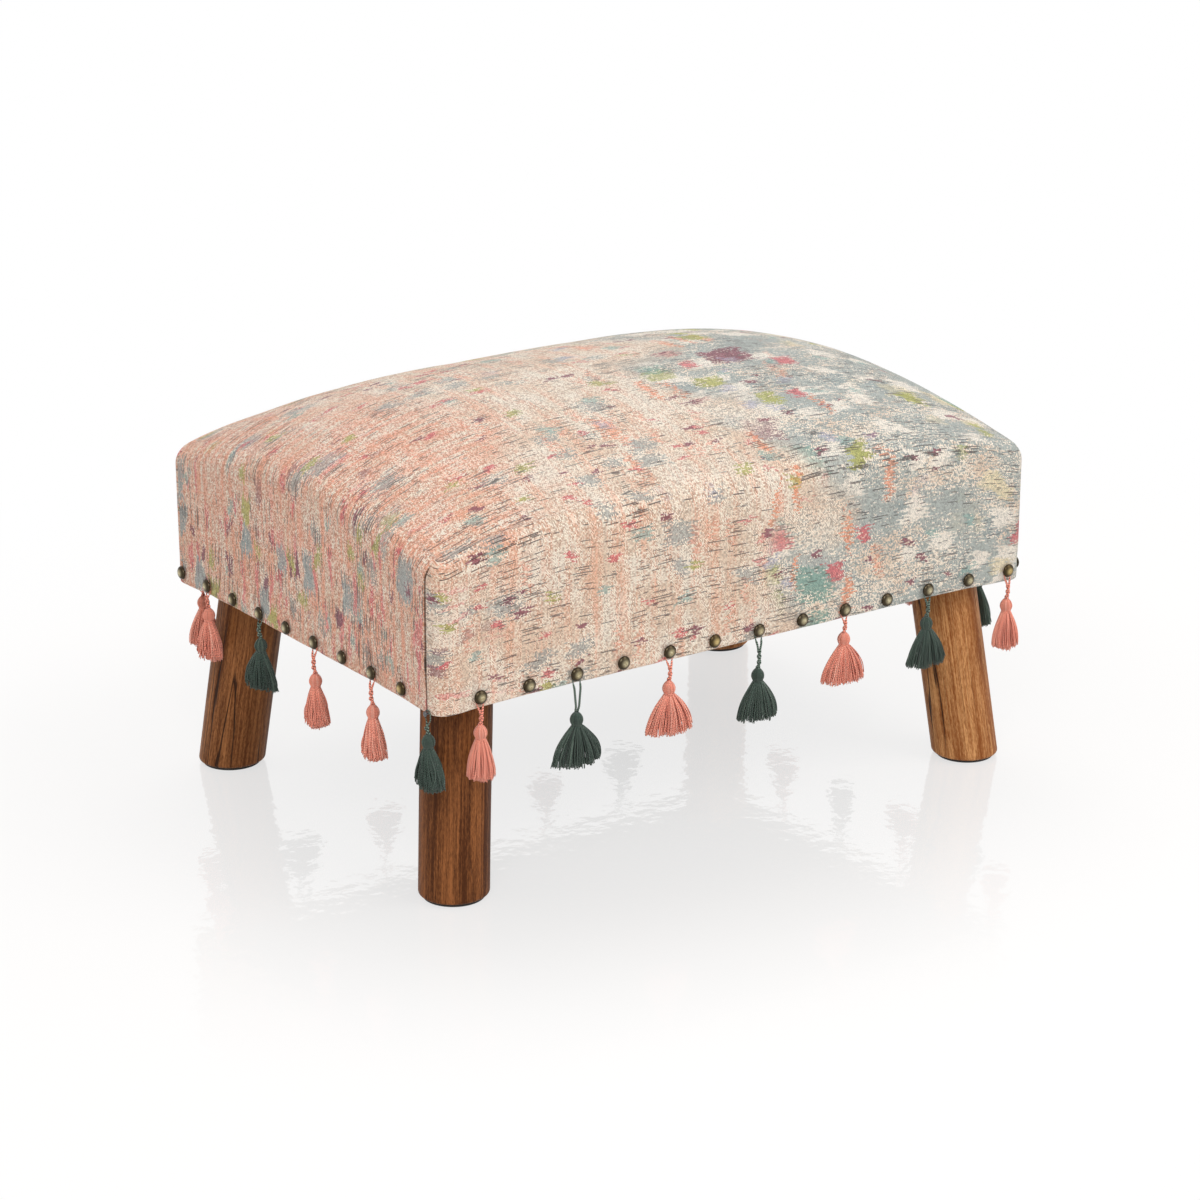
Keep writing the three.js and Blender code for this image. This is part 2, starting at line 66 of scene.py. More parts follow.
camera_back = Vector((
    math.sin(camera_azimuth) * math.cos(camera_elevation),
    -math.cos(camera_azimuth) * math.cos(camera_elevation),
    math.sin(camera_elevation),
))
camera_right = Vector((math.cos(camera_azimuth), math.sin(camera_azimuth), 0))
camera_up = camera_back.cross(camera_right)
camera_data = bpy.data.cameras.new("camera")
camera_data.lens = camera_lens_mm
camera_data.sensor_width = sensor_mm
camera = bpy.data.objects.new("camera", camera_data)
camera.location = (
    camera_back * camera_distance + camera_right * camera_shift_right + camera_up * camera_shift_up
)
camera.rotation_mode = "QUATERNION"
camera.rotation_quaternion = (-camera_back).to_track_quat("-Z", "Y")
bpy.context.scene.collection.objects.link(camera)
bpy.context.scene.camera = camera

# Frame: four sawn softwood rails, butted and glued at the corners, with a chamfered block screwed
# into each corner to take a leg's bolt. The wood is pale, straight-grained and left bare.


class Field:
    """A number, place or colour that changes over a surface. A sum written with one becomes steps of
    the shader that it belongs to."""

    def __init__(self, socket):
        self.socket = socket
        self.tree = socket.id_data

    def step(self, operation, *others):
        numbers = dict(enumerate((self, *others)))
        return Field(add_node(self.tree, "ShaderNodeMath", numbers, operation=operation).outputs[0])

    def __add__(self, other):
        return self.step("ADD", other)

    def __sub__(self, other):
        return self.step("SUBTRACT", other)

    def __rsub__(self, other):
        made = add_node(self.tree, "ShaderNodeMath", {0: other, 1: self}, operation="SUBTRACT")
        return Field(made.outputs[0])

    def __mul__(self, other):
        return self.step("MULTIPLY", other)

    def __truediv__(self, other):
        return self.step("DIVIDE", other)


def paint(code):
    """A colour written as a web code, as the shader's linear values."""
    parts = [int(code[at:at + 2], 16) / 255 for at in (0, 2, 4)]
    linear = [part / 12.92 if part <= 0.04045 else ((part + 0.055) / 1.055) ** 2.4 for part in parts]
    return (*linear, 1)


def set_inputs(node, inputs):
    """Gives a node's inputs their fields, numbers, places or colours. Colours are web codes."""
    for name, value in inputs.items():
        if isinstance(value, Field):
            node.id_data.links.new(value.socket, node.inputs[name])
        else:
            node.inputs[name].default_value = paint(value) if isinstance(value, str) else value


def add_node(tree, kind, inputs=None, **settings):
    made = tree.nodes.new(kind)
    for name, value in settings.items():
        setattr(made, name, value)
    set_inputs(made, inputs or {})
    return made


def graded(value, low, high, start=0.0, end=1.0):
    """A value eased from start to end as it goes from low to high."""
    made = add_node(
        value.tree, "ShaderNodeMapRange",
        {"Value": value, "From Min": low, "From Max": high, "To Min": start, "To Max": end},
        interpolation_type="SMOOTHSTEP",
    )
    return Field(made.outputs["Result"])


def mixed(share, first, second, blend="MIX"):
    """Two colours mixed by a share."""
    tree = next(part.tree for part in (share, first, second) if isinstance(part, Field))
    made = add_node(
        tree, "ShaderNodeMix", {0: share, 6: first, 7: second}, data_type="RGBA", blend_type=blend,
    )
    return Field(made.outputs[2])


def stretched(place, scale, offset=(0, 0, 0), turn=(0, 0, 0)):
    """A place scaled by a different amount each way, turned and moved."""
    made = add_node(place.tree, "ShaderNodeMapping", {
        "Vector": place, "Scale": scale, "Location": offset, "Rotation": turn,
    })
    return Field(made.outputs["Vector"])


def split_up(place):
    """A place's X, Y and Z."""
    return [Field(part) for part in add_node(place.tree, "ShaderNodeSeparateXYZ", {0: place}).outputs]


def put_together(x, y=0.0, z=0.0):
    made = add_node(x.tree, "ShaderNodeCombineXYZ", {"X": x, "Y": y, "Z": z})
    return Field(made.outputs["Vector"])


def length_of(place):
    made = add_node(place.tree, "ShaderNodeVectorMath", {0: place}, operation="LENGTH")
    return Field(made.outputs["Value"])


def noise_at(place, scale, detail=2.0, roughness=0.5):
    made = add_node(
        place.tree, "ShaderNodeTexNoise",
        {"Vector": place, "Scale": scale, "Detail": detail, "Roughness": roughness},
    )
    return Field(made.outputs["Fac"])


def object_place(tree):
    return Field(add_node(tree, "ShaderNodeTexCoord").outputs["Object"])


def new_group(name, inputs, outputs):
    """A node group from the names and kinds of its inputs and the names of the numbers it puts out.
    Gives the group's tree, its inputs as fields and its output node."""
    tree = bpy.data.node_groups.new(name, "ShaderNodeTree")
    for label, kind in inputs.items():
        tree.interface.new_socket(label, in_out="INPUT", socket_type=f"NodeSocket{kind}")
    for label in outputs:
        tree.interface.new_socket(label, in_out="OUTPUT", socket_type="NodeSocketFloat")
    sources = tree.nodes.new("NodeGroupInput").outputs
    given = {label: Field(sources[label]) for label in inputs}
    return tree, given, tree.nodes.new("NodeGroupOutput")


def use_group(tree, group, inputs):
    """What a group finds from a material's own values."""
    made = tree.nodes.new("ShaderNodeGroup")
    made.node_tree = group
    set_inputs(made, inputs)
    return {output.name: Field(output) for output in made.outputs}


def new_material(name, roughness, **numbers):
    """A material, its node tree and its Principled shader, which is joined to the output."""
    material = bpy.data.materials.new(name)
    material.use_nodes = True
    tree = material.node_tree
    tree.nodes.clear()
    shader = tree.nodes.new("ShaderNodeBsdfPrincipled")
    output = tree.nodes.new("ShaderNodeOutputMaterial")
    tree.links.new(shader.outputs["BSDF"], output.inputs["Surface"])
    set_inputs(shader, {"Roughness": roughness})
    set_inputs(shader, {label.replace("_", " "): value for label, value in numbers.items()})
    return material, tree, shader


def dress(shader, colour, height, strength, depth, **others):
    """Gives a shader its colour, a small relief, and whatever else changes over the surface."""
    bump = add_node(
        shader.id_data, "ShaderNodeBump", {"Height": height, "Strength": strength, "Distance": depth},
    )
    set_inputs(shader, {"Base Color": colour, "Normal": Field(bump.outputs["Normal"]), **others})


def give_material(node, material):
    bpy.data.objects[node].material_slots[0].material = material


# Grain: streaks and growth rings drawn out along Z, with short dark pores
grain, given, results = new_group(
    "wood grain",
    {"Place": "Vector", "Streak pitch": "Float", "Ring pitch": "Float", "Draw": "Float"},
    ["Tone", "Pores", "Height"],
)
x, y, z = split_up(given["Place"])
streak_pitch = given["Streak pitch"]
drawn = put_together(x / streak_pitch, y / streak_pitch, z * given["Draw"] / streak_pitch)
streaks = noise_at(drawn, 1.0, 5.0, 0.62)
ring_count = length_of(put_together(x, y)) / given["Ring pitch"]
rings = (streaks * 0.7 + (noise_at(given["Place"], 11.0) * 5.0 + ring_count)).step("FRACT")
pores = graded(noise_at(stretched(drawn, (3.2, 3.2, 0.9)), 1.0, 2.0, 0.6), 0.60, 0.72)
set_inputs(results, {
    "Tone": rings * 0.42 + streaks * 0.75, "Pores": pores, "Height": streaks * 0.5 - pores,
})


def sawn_wood(name, turn, light, dark, ring_pitch):
    """Pale bare wood whose grain runs along X, Y or Z, as the turn says."""
    material, tree, shader = new_material(name, 0.72)
    along = stretched(object_place(tree), (1, 1, 1), (0.07, 0.05, 0.02), turn)
    found = use_group(tree, grain, {
        "Place": along, "Streak pitch": 0.0022, "Ring pitch": ring_pitch, "Draw": 0.04,
    })
    colour = mixed(graded(found["Tone"], 0.25, 0.85), light, dark)
    knots = graded(noise_at(along, 14.0, 1.0), 0.70, 0.80)
    saw_marks = noise_at(stretched(along, (40.0, 40.0, 700.0)), 1.0)
    dress(shader, mixed(knots * 0.6, colour, "8a5f38"), found["Height"] + saw_marks, 0.35, 0.0004)
    return material


quarter_turn = math.pi / 2
softwood_along = sawn_wood("softwood along", (0, quarter_turn, 0), "e3c79a", "c39a63", 0.004)
softwood_across = sawn_wood("softwood across", (quarter_turn, 0, 0), "e0c294", "bd935c", 0.004)
softwood_upright = sawn_wood("softwood upright", (0, 0, 0), "dfc192", "ba9059", 0.005)
corner_names = ("front_left", "front_right", "back_right", "back_left")
for side_name in ("front", "back"):
    give_material(f"rail_{side_name}", softwood_along)
for side_name in ("left", "right"):
    give_material(f"rail_{side_name}", softwood_across)
for corner_name in corner_names:
    give_material(f"corner_block_{corner_name}", softwood_upright)

# Deck: a sheet of thin plywood screwed down on the rails, which the foam stands on. Its faces are
# rotary-cut veneer and its edges show the plies.
ply_thickness = 0.0018
plywood, tree, shader = new_material("plywood", 0.65)
place = object_place(tree)
plies = (split_up(place)[2] / (2 * ply_thickness)).step("FRACT")
edge_colour = mixed(graded(plies, 0.46, 0.54), "d9b984", "a8824f")
veneer = noise_at(stretched(place, (9.0, 70.0, 1.0)), 1.0, 4.0, 0.6)
veneer_colour = mixed(graded(veneer, 0.3, 0.7), "e6cd9f", "cda672")
facing = Field(add_node(tree, "ShaderNodeNewGeometry").outputs["Normal"])
facing_up = split_up(facing)[2].step("ABSOLUTE")
dress(shader, mixed(graded(facing_up, 0.4, 0.6), edge_colour, veneer_colour), veneer, 0.2, 0.0005)
give_material("deck", plywood)

# Foam: a block of open-cell foam, shaped to the crown of the top and glued to the deck. It is cream
# and full of fine pores, and lies lower than the cloth by the batting's thickness.
cover_low, cover_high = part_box("cover")
half_length = cover_high.x
half_depth = cover_high.y
hem_height = cover_low.z
corner_rise = 0.1135
long_edge_rise = 0.020
short_edge_rise = 0.028
centre_rise = 0.031
long_edge_power = 5
short_edge_power = 1.6
centre_power = 3
edge_radius = 0.012
corner_radius = 0.014
foam_inset = 0.0060
column_pitch = 0.004
corner_arc_count = 12
top_ring_power = 0.8
foam_ring_counts = (14, 4, 8)
foam_base_shares = (0.6, 0.2)
fold_from_arc = 0.0015
# Columns by a corner's fold: how far past the fold each one stands, and how far out it lies
fold_steps = [
    (-0.0012, 0.0000), (-0.0008, -0.0020), (0, -0.0026), (0.0001, 0.0004), (0.0005, 0.0011),
    (0.0013, 0.0013), (0.0030, 0.0013), (0.006, 0.0011), (0.012, 0.0006), (0.022, 0.0001),
]
# Each side's direction along its hem, anticlockwise, and its direction outwards
sides = {
    "front": (Vector((1, 0, 0)), Vector((0, -1, 0))),
    "right": (Vector((0, 1, 0)), Vector((1, 0, 0))),
    "back": (Vector((-1, 0, 0)), Vector((0, 1, 0))),
    "left": (Vector((0, -1, 0)), Vector((-1, 0, 0))),
}
short_sides = ("left", "right")


def crown_height(x, y):
    """The top of the stool before its edges are rounded."""
    share_x = np.minimum(np.abs(x) / half_length, 1)
    share_y = np.minimum(np.abs(y) / half_depth, 1)
    along_rise = long_edge_rise * (1 - share_x ** long_edge_power)
    across_rise = short_edge_rise * (1 - share_y ** short_edge_power)
    middle_rise = centre_rise * (1 - share_x ** centre_power) * (1 - share_y ** centre_power)
    return hem_height + corner_rise + along_rise + across_rise + middle_rise


def quarter_turns(count):
    """The angles of a quarter turn in equal steps, without its start."""
    return [math.pi / 2 * step / count for step in range(1, count + 1)]


def plan_columns():
    """The lines that run down the stool's sides, anticlockwise. Each has the point that it is set out
    from, its direction, the side whose cloth follows it, and how far a corner's fold lifts it."""
    columns = []
    names = list(sides)
    for index, (name, (along, out)) in enumerate(sides.items()):
        is_short = name in short_sides
        run = (half_depth if is_short else half_length) - corner_radius
        reach = (half_length if is_short else half_depth) - corner_radius
        if is_short:
            before, after = names[index - 1], names[(index + 1) % 4]
            fold = -run + fold_from_arc
            inner = fold + fold_steps[-1][0]
            plain = np.linspace(inner, -inner, round(-2 * inner / column_pitch))[1:-1]
            places = [(-run, before, 0)]
            places += [(fold + step, before if step < 0 else name, lift) for step, lift in fold_steps]
            places += [(at, name, 0) for at in plain]
            places += [
                (-fold - step, name if step > 0 else after, lift) for step, lift in reversed(fold_steps)
            ]
            places.append((run, after, 0))
        else:
            places = [(at, name, 0) for at in np.linspace(-run, run, round(2 * run / column_pitch))]
        for at, owner, lift in places:
            columns.append((along * at + out * reach, out, owner, lift))
        for turn in quarter_turns(corner_arc_count)[:-1]:
            facing = out * math.cos(turn) + along * math.sin(turn)
            columns.append((along * run + out * reach, facing, places[-1][1], 0))
    return columns


columns = plan_columns()
column_anchors = np.array([column[0][:2] for column in columns])
column_facings = np.array([column[1][:2] for column in columns])
column_owners = [column[2] for column in columns]
column_lifts = np.array([column[3] for column in columns])
column_count = len(columns)
sideways = np.column_stack([column_facings, np.zeros(column_count)])
upwards = np.tile([0.0, 0.0, 1.0], (column_count, 1))


def level_plan(inset, share=1.0):
    """The stool's plan set in from its outside, as a share of its way out from the middle."""
    flat = column_anchors + column_facings * (corner_radius - min(inset, corner_radius))
    further = max(inset - corner_radius, 0)
    narrower = np.array([
        1 - further / (half_length - corner_radius), 1 - further / (half_depth - corner_radius),
    ])
    return flat * narrower * share


def at_height(flat, height):
    """A level ring from its plan."""
    return np.column_stack([flat, np.full(len(flat), height)])


def layer_rings(inset, bottom, ring_counts):
    """One skin of the padded block, from the middle of its top down to a level edge, as rings of
    points, with each ring's outward directions and its way down from the edge of the top."""
    top_count, edge_count, side_count = ring_counts
    rings, ways, drops = [], [], []
    radius = edge_radius - inset
    for step in range(1, top_count + 1):
        flat = level_plan(edge_radius, (step / top_count) ** top_ring_power)
        rings.append(np.column_stack([flat, crown_height(*flat.T) - inset]))
        ways.append(upwards)
        drops.append(0)
    for turn in quarter_turns(edge_count):
        flat = level_plan(inset + radius * (1 - math.sin(turn)))
        height = crown_height(*flat.T) - inset - radius * (1 - math.cos(turn))
        rings.append(np.column_stack([flat, height]))
        ways.append(sideways * math.sin(turn) + upwards * math.cos(turn))
        drops.append(radius * turn)
    start = rings[-1]
    for step in range(1, side_count + 1):
        ring = start.copy()
        ring[:, 2] += (bottom - start[:, 2]) * step / side_count
        rings.append(ring)
        ways.append(sideways)
        drops.append(radius * math.pi / 2 + (start[:, 2].mean() - bottom) * step / side_count)
    return rings, ways, drops


def show_mesh(name, form, body, material):
    """Adds a form, its points and faces, to the scene as a smooth piece that moves with a body."""
    points, faces = form
    mesh = bpy.data.meshes.new(name)
    mesh.from_pydata(np.asarray(points).tolist(), [], faces)
    mesh.polygons.foreach_set("use_smooth", [True] * len(faces))
    mesh.materials.append(material)
    mesh.update()
    piece = bpy.data.objects.new(name, mesh)
    bpy.context.scene.collection.objects.link(piece)
    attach(piece, body)
    return piece


def ring_faces(ring_count, side_count):
    """The faces between rings of points, each ring further along than the last."""
    faces = []
    for ring in range(ring_count - 1):
        low = ring * side_count
        high = low + side_count
        for at in range(side_count):
            after = (at + 1) % side_count
            faces.append((low + at, high + at, high + after, low + after))
    return faces


def fan_faces(point, ring_start, side_count, turned=False):
    """The faces from one point to a ring of points."""
    faces = []
    for at in range(side_count):
        near, far = ring_start + at, ring_start + (at + 1) % side_count
        faces.append((point, far, near) if turned else (point, near, far))
    return faces


def closed_skin(rings, first_point, last_point):
    """The points and faces of a closed form over rings of points, anticlockwise and going outwards."""
    points = np.vstack([*rings, [first_point], [last_point]])
    side_count = len(rings[0])
    last_ring = (len(rings) - 1) * side_count
    faces = fan_faces(len(points) - 2, 0, side_count)
    faces += ring_faces(len(rings), side_count)
    faces += fan_faces(len(points) - 1, last_ring, side_count, turned=True)
    return points, faces


def smooth_step(low, high, value):
    share = np.clip((value - low) / (high - low), 0, 1)
    return share * share * (3 - 2 * share)


def crown_middle(inset):
    """The middle of a skin's top."""
    return 0, 0, float(crown_height(0.0, 0.0)) - inset


def cells_at(place, scale):
    """Small round cells: how far a point is from its cell's middle, and a random colour for each."""
    made = add_node(place.tree, "ShaderNodeTexVoronoi", {"Vector": place, "Scale": scale})
    return Field(made.outputs["Distance"]), Field(made.outputs["Color"])


foam, tree, shader = new_material("cream foam", 0.95, Specular_IOR_Level=0.15)
place = object_place(tree)
bubbles, _ = cells_at(place, 620.0)
colour = mixed(graded(noise_at(place, 30.0, 3.0), 0.3, 0.7), "efe3bd", "e3d2a2")
colour = mixed(graded(bubbles, 0.05, 0.45, 0.5, 0.0), colour, "b39a63")
dress(shader, colour, bubbles, 0.6, 0.0012)

foam_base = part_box("foam_block")[0].z
foam_rings, _, _ = layer_rings(foam_inset, foam_base, foam_ring_counts)
for share in foam_base_shares:
    foam_rings.append(at_height(level_plan(foam_inset, share), foam_base))
foam_form = closed_skin(foam_rings, crown_middle(foam_inset), (0, 0, foam_base))
foam_block = show_mesh("foam_core", foam_form, "stool", foam)
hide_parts("foam_block")

# Batting: a thin layer of white polyester wadding, pulled over the foam and down the rails before
# the cover goes on, so that the cloth lies soft. Its surface is matted fibre.
batting_inset = 0.0021
batting_thickness = 0.0032
batting_ring_counts = (14, 4, 10)
wadding, tree, shader = new_material("white wadding", 0.95, Specular_IOR_Level=0.1, Sheen_Weight=0.3)
place = object_place(tree)
fibres = noise_at(stretched(place, (900.0, 160.0, 420.0)), 1.0, 4.0, 0.7)
colour = mixed(graded(fibres, 0.35, 0.65), "f4f2ec", "dedad0")
dress(shader, colour, noise_at(place, 70.0, 3.0, 0.6) * 2.0 + fibres, 0.5, 0.0015)

batting_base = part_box("batting")[0].z
inner_inset = batting_inset + batting_thickness
batting_rings, _, _ = layer_rings(batting_inset, batting_base, batting_ring_counts)
batting_lining, _, _ = layer_rings(inner_inset, batting_base, batting_ring_counts)
batting_form = closed_skin(
    batting_rings + batting_lining[::-1], crown_middle(batting_inset), crown_middle(inner_inset),
)
batting = show_mesh("wadding_layer", batting_form, "stool", wadding)
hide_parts("batting")

# Cover: one piece of coarse printed cotton, stretched over the padded top and down the sides. At
# the corners the long sides' cloth is tucked under the short sides'. The hem is turned in under the
# rails and nailed, and hangs a little lower at the corners.
cloth_thickness = 0.0012
under_turn = 0.025
hem_radius = 0.0016
cover_ring_counts = (46, 9, 46)
lining_ring_counts = (16, 4, 18)
padding_swell = 0.0009
broad_lumps = 9
small_lumps = 26
small_lump_share = 0.45
small_lump_offset = Vector((7, 3, 5))
side_swell = 0.0003
side_swell_drop = 0.02
fold_drops = (0.005, 0.016)
hem_swell = 0.0001
nailed_band = 0.012
flat_band = 0.034
hem_band = 0.022
nail_pull = 0.0014
nail_pull_radius = 0.010
free_nail_share = 0.35
pucker_depth = 0.00025
pucker_radius = 0.016
pucker_count = 6
corner_droop = 0.0028
corner_droop_reach = 0.05
corner_droop_height = 0.05
hem_step_count = 3
turned_in_shares = (0.15, 0.3, 0.5, 0.75, 1)
lining_hem_inset = 0.008
arc_step_count = 25
hinge_places = {joint["child"]: Vector(joint["pos_m"]) for joint in frame["joints"]}


def nail_places(side):
    """A row's nails on the face of the cloth, each with whether a tassel hangs on it. Every second
    nail has one."""
    along, out = sides[side]
    hung = [place for name, place in hinge_places.items() if name.startswith(f"tassel_{side}_")]
    pitch = (hung[-1] - hung[0]).dot(along) / (2 * (len(hung) - 1))
    is_short = side in short_sides
    first = hung[0] - along * (pitch if is_short else 0)
    face = half_length if is_short else half_depth
    first += out * (face - first.dot(out))
    count = 2 * len(hung) + (1 if is_short else -1)
    return [(first + along * (pitch * index), index % 2 == is_short) for index in range(count)]


def padding_lump(point):
    """How much the uneven padding lifts the cloth, from about -1 to 1."""
    small = noise.noise(point * small_lumps + small_lump_offset)
    return noise.noise(point * broad_lumps) + small_lump_share * small


def swell(rings, ways, drops):
    """Moves a plain skin's rings: out where the padding is thick, in at each nail with puckers round
    it, in and out at the corners' folds, and down where the hem droops."""
    nails = [nail for side in sides for nail in nail_places(side)]
    swelled = []
    for ring, way, drop in zip(rings, ways, drops):
        lift = padding_swell * np.array([padding_lump(Vector(point)) for point in ring])
        if not drop:
            swelled.append(ring + way * lift[:, None])
            continue
        above_hem = ring[:, 2] - hem_height
        above_nails = smooth_step(nailed_band, flat_band, above_hem)
        lift *= above_nails
        lift += side_swell * smooth_step(0, side_swell_drop, drop)
        lift += hem_swell * (1 - smooth_step(0, hem_band, above_hem))
        lift += np.minimum(column_lifts, 0) * smooth_step(*fold_drops, drop)
        lift += np.maximum(column_lifts, 0) * smooth_step(*fold_drops, drop) * above_nails
        for index, (place, is_hung) in enumerate(nails):
            away = ring - np.array(place)
            far = np.linalg.norm(away, axis=1)
            near = np.exp(-((far / nail_pull_radius) ** 2))
            lift -= nail_pull * near * (1 if is_hung else free_nail_share)
            turn = np.arctan2(away[:, 2], away[:, 0] + away[:, 1])
            pucker = np.cos(pucker_count * turn + index) * np.exp(-((far / pucker_radius) ** 2))
            lift += pucker_depth * pucker * (1 - near)
        moved = ring + way * lift[:, None]
        from_corner = np.hypot(half_length - np.abs(ring[:, 0]), half_depth - np.abs(ring[:, 1]))
        droop = corner_droop * np.exp(-((from_corner / corner_droop_reach) ** 2))
        moved[:, 2] -= droop * (1 - smooth_step(0, corner_droop_height, above_hem))
        swelled.append(moved)
    return swelled


def cover_rings():
    """The cover's outside, hem and turned-in edge, with how far down the cloth each ring lies, and
    then the inside of the cloth."""
    rings, ways, drops = layer_rings(0, hem_height + hem_radius, cover_ring_counts)
    outside = swell(rings, ways, drops)
    shift = outside[-1] - rings[-1]
    down = list(drops)
    start = down[-1]
    for turn in quarter_turns(hem_step_count):
        flat = level_plan(hem_radius * (1 - math.cos(turn)))
        outside.append(at_height(flat, hem_height + hem_radius * (1 - math.sin(turn))) + shift)
        down.append(start + hem_radius * turn)
    start = down[-1]
    turned_in = under_turn - hem_radius
    for share in turned_in_shares:
        ring = at_height(level_plan(hem_radius + turned_in * share), hem_height)
        outside.append(ring + shift * max(0, 1 - 2 * share))
        down.append(start + turned_in * share)
    lining = swell(*layer_rings(cloth_thickness, hem_height + 2 * cloth_thickness, lining_ring_counts))
    for flat in (lining[-1][:, :2], level_plan(lining_hem_inset), level_plan(under_turn)):
        lining.append(at_height(flat, hem_height + cloth_thickness))
    return outside, lining[::-1], down


def lengths_on_crown(x, y):
    """How far points of the top lie from the middle, measured on the cloth, each way."""
    steps = np.linspace(0, 1, arc_step_count)
    along, across = np.outer(x, steps), np.outer(y, steps)
    along_rise = np.diff(crown_height(along, y[:, None]), axis=1)
    across_rise = np.diff(crown_height(x[:, None], across), axis=1)
    along_length = np.hypot(np.diff(along, axis=1), along_rise).sum(1)
    across_length = np.hypot(np.diff(across, axis=1), across_rise).sum(1)
    return np.copysign(along_length, x), np.copysign(across_length, y)


def lay_out_cloth(piece, outside, down):
    """Writes each face's place on the flat cloth, so that the weave and print run over the top and
    down the sides as on one piece of cloth, and break at the corners' folds."""
    top_count = cover_ring_counts[0]
    top_places = [lengths_on_crown(ring[:, 0], ring[:, 1]) for ring in outside[:top_count]]
    edge_x, edge_y = top_places[-1]
    on_short = np.abs(column_facings[:, 0]) > 0.999
    arc_turn = np.arccos(np.clip(np.abs(column_facings[:, 1]), 0, 1))
    past_arc = np.where(on_short, half_depth - corner_radius - np.abs(column_anchors[:, 1]), 0)
    round_corner = corner_radius * arc_turn + np.clip(past_arc, 0, 2 * fold_from_arc)
    flat = {}
    for owner, (along, out) in sides.items():
        outward = out.x + out.y
        for ring, drop in enumerate(down):
            if ring < top_count:
                flat[owner, ring] = np.column_stack(top_places[ring])
            elif owner in short_sides:
                far = np.full(column_count, outward * (np.abs(edge_x).max() + drop))
                flat[owner, ring] = np.column_stack([far, edge_y])
            else:
                blend = smooth_step(0, side_swell_drop, drop)
                far = np.full(column_count, outward * (np.abs(edge_y).max() + drop))
                side_x = edge_x + np.copysign(round_corner * blend, edge_x)
                flat[owner, ring] = np.column_stack([side_x, far])
    layer = piece.data.uv_layers.new(name="cloth")
    places = np.zeros((len(piece.data.loops), 2), np.float32)
    ring_count = len(piece.data.vertices) // column_count
    for face in piece.data.polygons:
        at_columns = [at % column_count for at in face.vertices if at < ring_count * column_count]
        column = min(at_columns)
        if column == 0 and column_count - 1 in at_columns:
            column = column_count - 1
        owner = column_owners[column]
        for loop, vertex in zip(face.loop_indices, face.vertices):
            if vertex < ring_count * column_count:
                ring = min(vertex // column_count, len(down) - 1)
                places[loop] = flat[owner, ring][vertex % column_count]
    layer.data.foreach_set("uv", places.ravel())


# Weave: threads that pass over and under each other. Each thread and each crossing has its own tone
thread_pitch = 0.00105


def random_tone(number):
    """A random tone for each whole number."""
    made = add_node(number.tree, "ShaderNodeTexWhiteNoise", {"W": number}, noise_dimensions="1D")
    return Field(made.outputs["Value"])


weave, given, results = new_group(
    "plain weave", {"Place": "Vector", "Pitch": "Float"},
    ["Height", "Over", "Row", "Column", "Speck", "Melange"],
)
x, y, _ = split_up(given["Place"])
wander = noise_at(given["Place"], 60.0) * 1.4
thread_u = x / given["Pitch"] + wander
thread_v = y / given["Pitch"] + wander
wave_u = (thread_u * math.pi).step("SINE")
wave_v = (thread_v * math.pi).step("SINE")
over = wave_u * wave_v
is_over = graded(over, -0.12, 0.12)
is_under = 1 - is_over
thread_height = wave_u.step("ABSOLUTE") * is_over + wave_v.step("ABSOLUTE") * is_under
row = thread_v.step("FLOOR")
column = thread_u.step("FLOOR")
speck = add_node(
    weave, "ShaderNodeTexWhiteNoise", {"Vector": put_together(column, row)}, noise_dimensions="2D",
)
row_tones = noise_at(put_together(thread_u * 0.42, row * 7.31), 1.0, 2.0, 0.7)
column_tones = noise_at(put_together(column * 5.17, thread_v * 0.42), 1.0, 2.0, 0.7)
set_inputs(results, {
    "Height": (thread_height + over.step("ABSOLUTE")) * 0.6, "Over": is_over,
    "Row": random_tone(row), "Column": random_tone(column), "Speck": Field(speck.outputs["Value"]),
    "Melange": row_tones * is_under + column_tones * is_over,
})

# Worn print: blocks of one colour, whose edges follow the threads and are worn through in places
numbers = dict.fromkeys(("Thread", "Length", "Width", "Share", "Wear", "Seed"), "Float")
worn_print, given, results = new_group("worn print", {"Place": "Vector", **numbers}, ["Mask"])
x, y, _ = split_up(given["Place"])
seed = given["Seed"]
cell_place = put_together(x / given["Length"] + seed * 13.7, y / given["Width"] + seed * 7.3)
cells = add_node(
    worn_print, "ShaderNodeTexVoronoi", {"Vector": cell_place, "Scale": 1.0, "Randomness": 0.9},
    distance="CHEBYCHEV", voronoi_dimensions="2D",
)
cell_choice, cell_size, _ = split_up(Field(cells.outputs["Color"]))
is_printed = cell_choice.step("LESS_THAN", given["Share"])
from_edge = cell_size * 0.22 + 0.26 - Field(cells.outputs["Distance"])
wear_here = given["Wear"] - from_edge * 0.8
is_kept = graded(given["Thread"] - wear_here, -0.04, 0.06)
set_inputs(results, {"Mask": is_printed * graded(from_edge, -0.02, 0.02) * is_kept})


def uv_place(tree, name):
    return Field(add_node(tree, "ShaderNodeUVMap", uv_map=name).outputs["UV"])


def number_on(tree, name):
    """A number that is kept for each point of a mesh."""
    return Field(add_node(tree, "ShaderNodeAttribute", attribute_name=name).outputs["Fac"])


def write_numbers(piece, name, values):
    """Keeps a number for each point of a mesh, for its material to read."""
    numbers = piece.data.attributes.new(name, "FLOAT", "POINT")
    numbers.data.foreach_set("value", np.asarray(values, np.float32))


def shifted(place, way):
    made = add_node(place.tree, "ShaderNodeVectorMath", {0: place, 1: way}, operation="ADD")
    return Field(made.outputs["Vector"])


def shaded(colour, shade):
    """A colour made darker or lighter by a number."""
    grey = add_node(shade.tree, "ShaderNodeCombineColor", {0: shade, 1: shade, 2: shade})
    return mixed(1.0, colour, Field(grey.outputs[0]), "MULTIPLY")


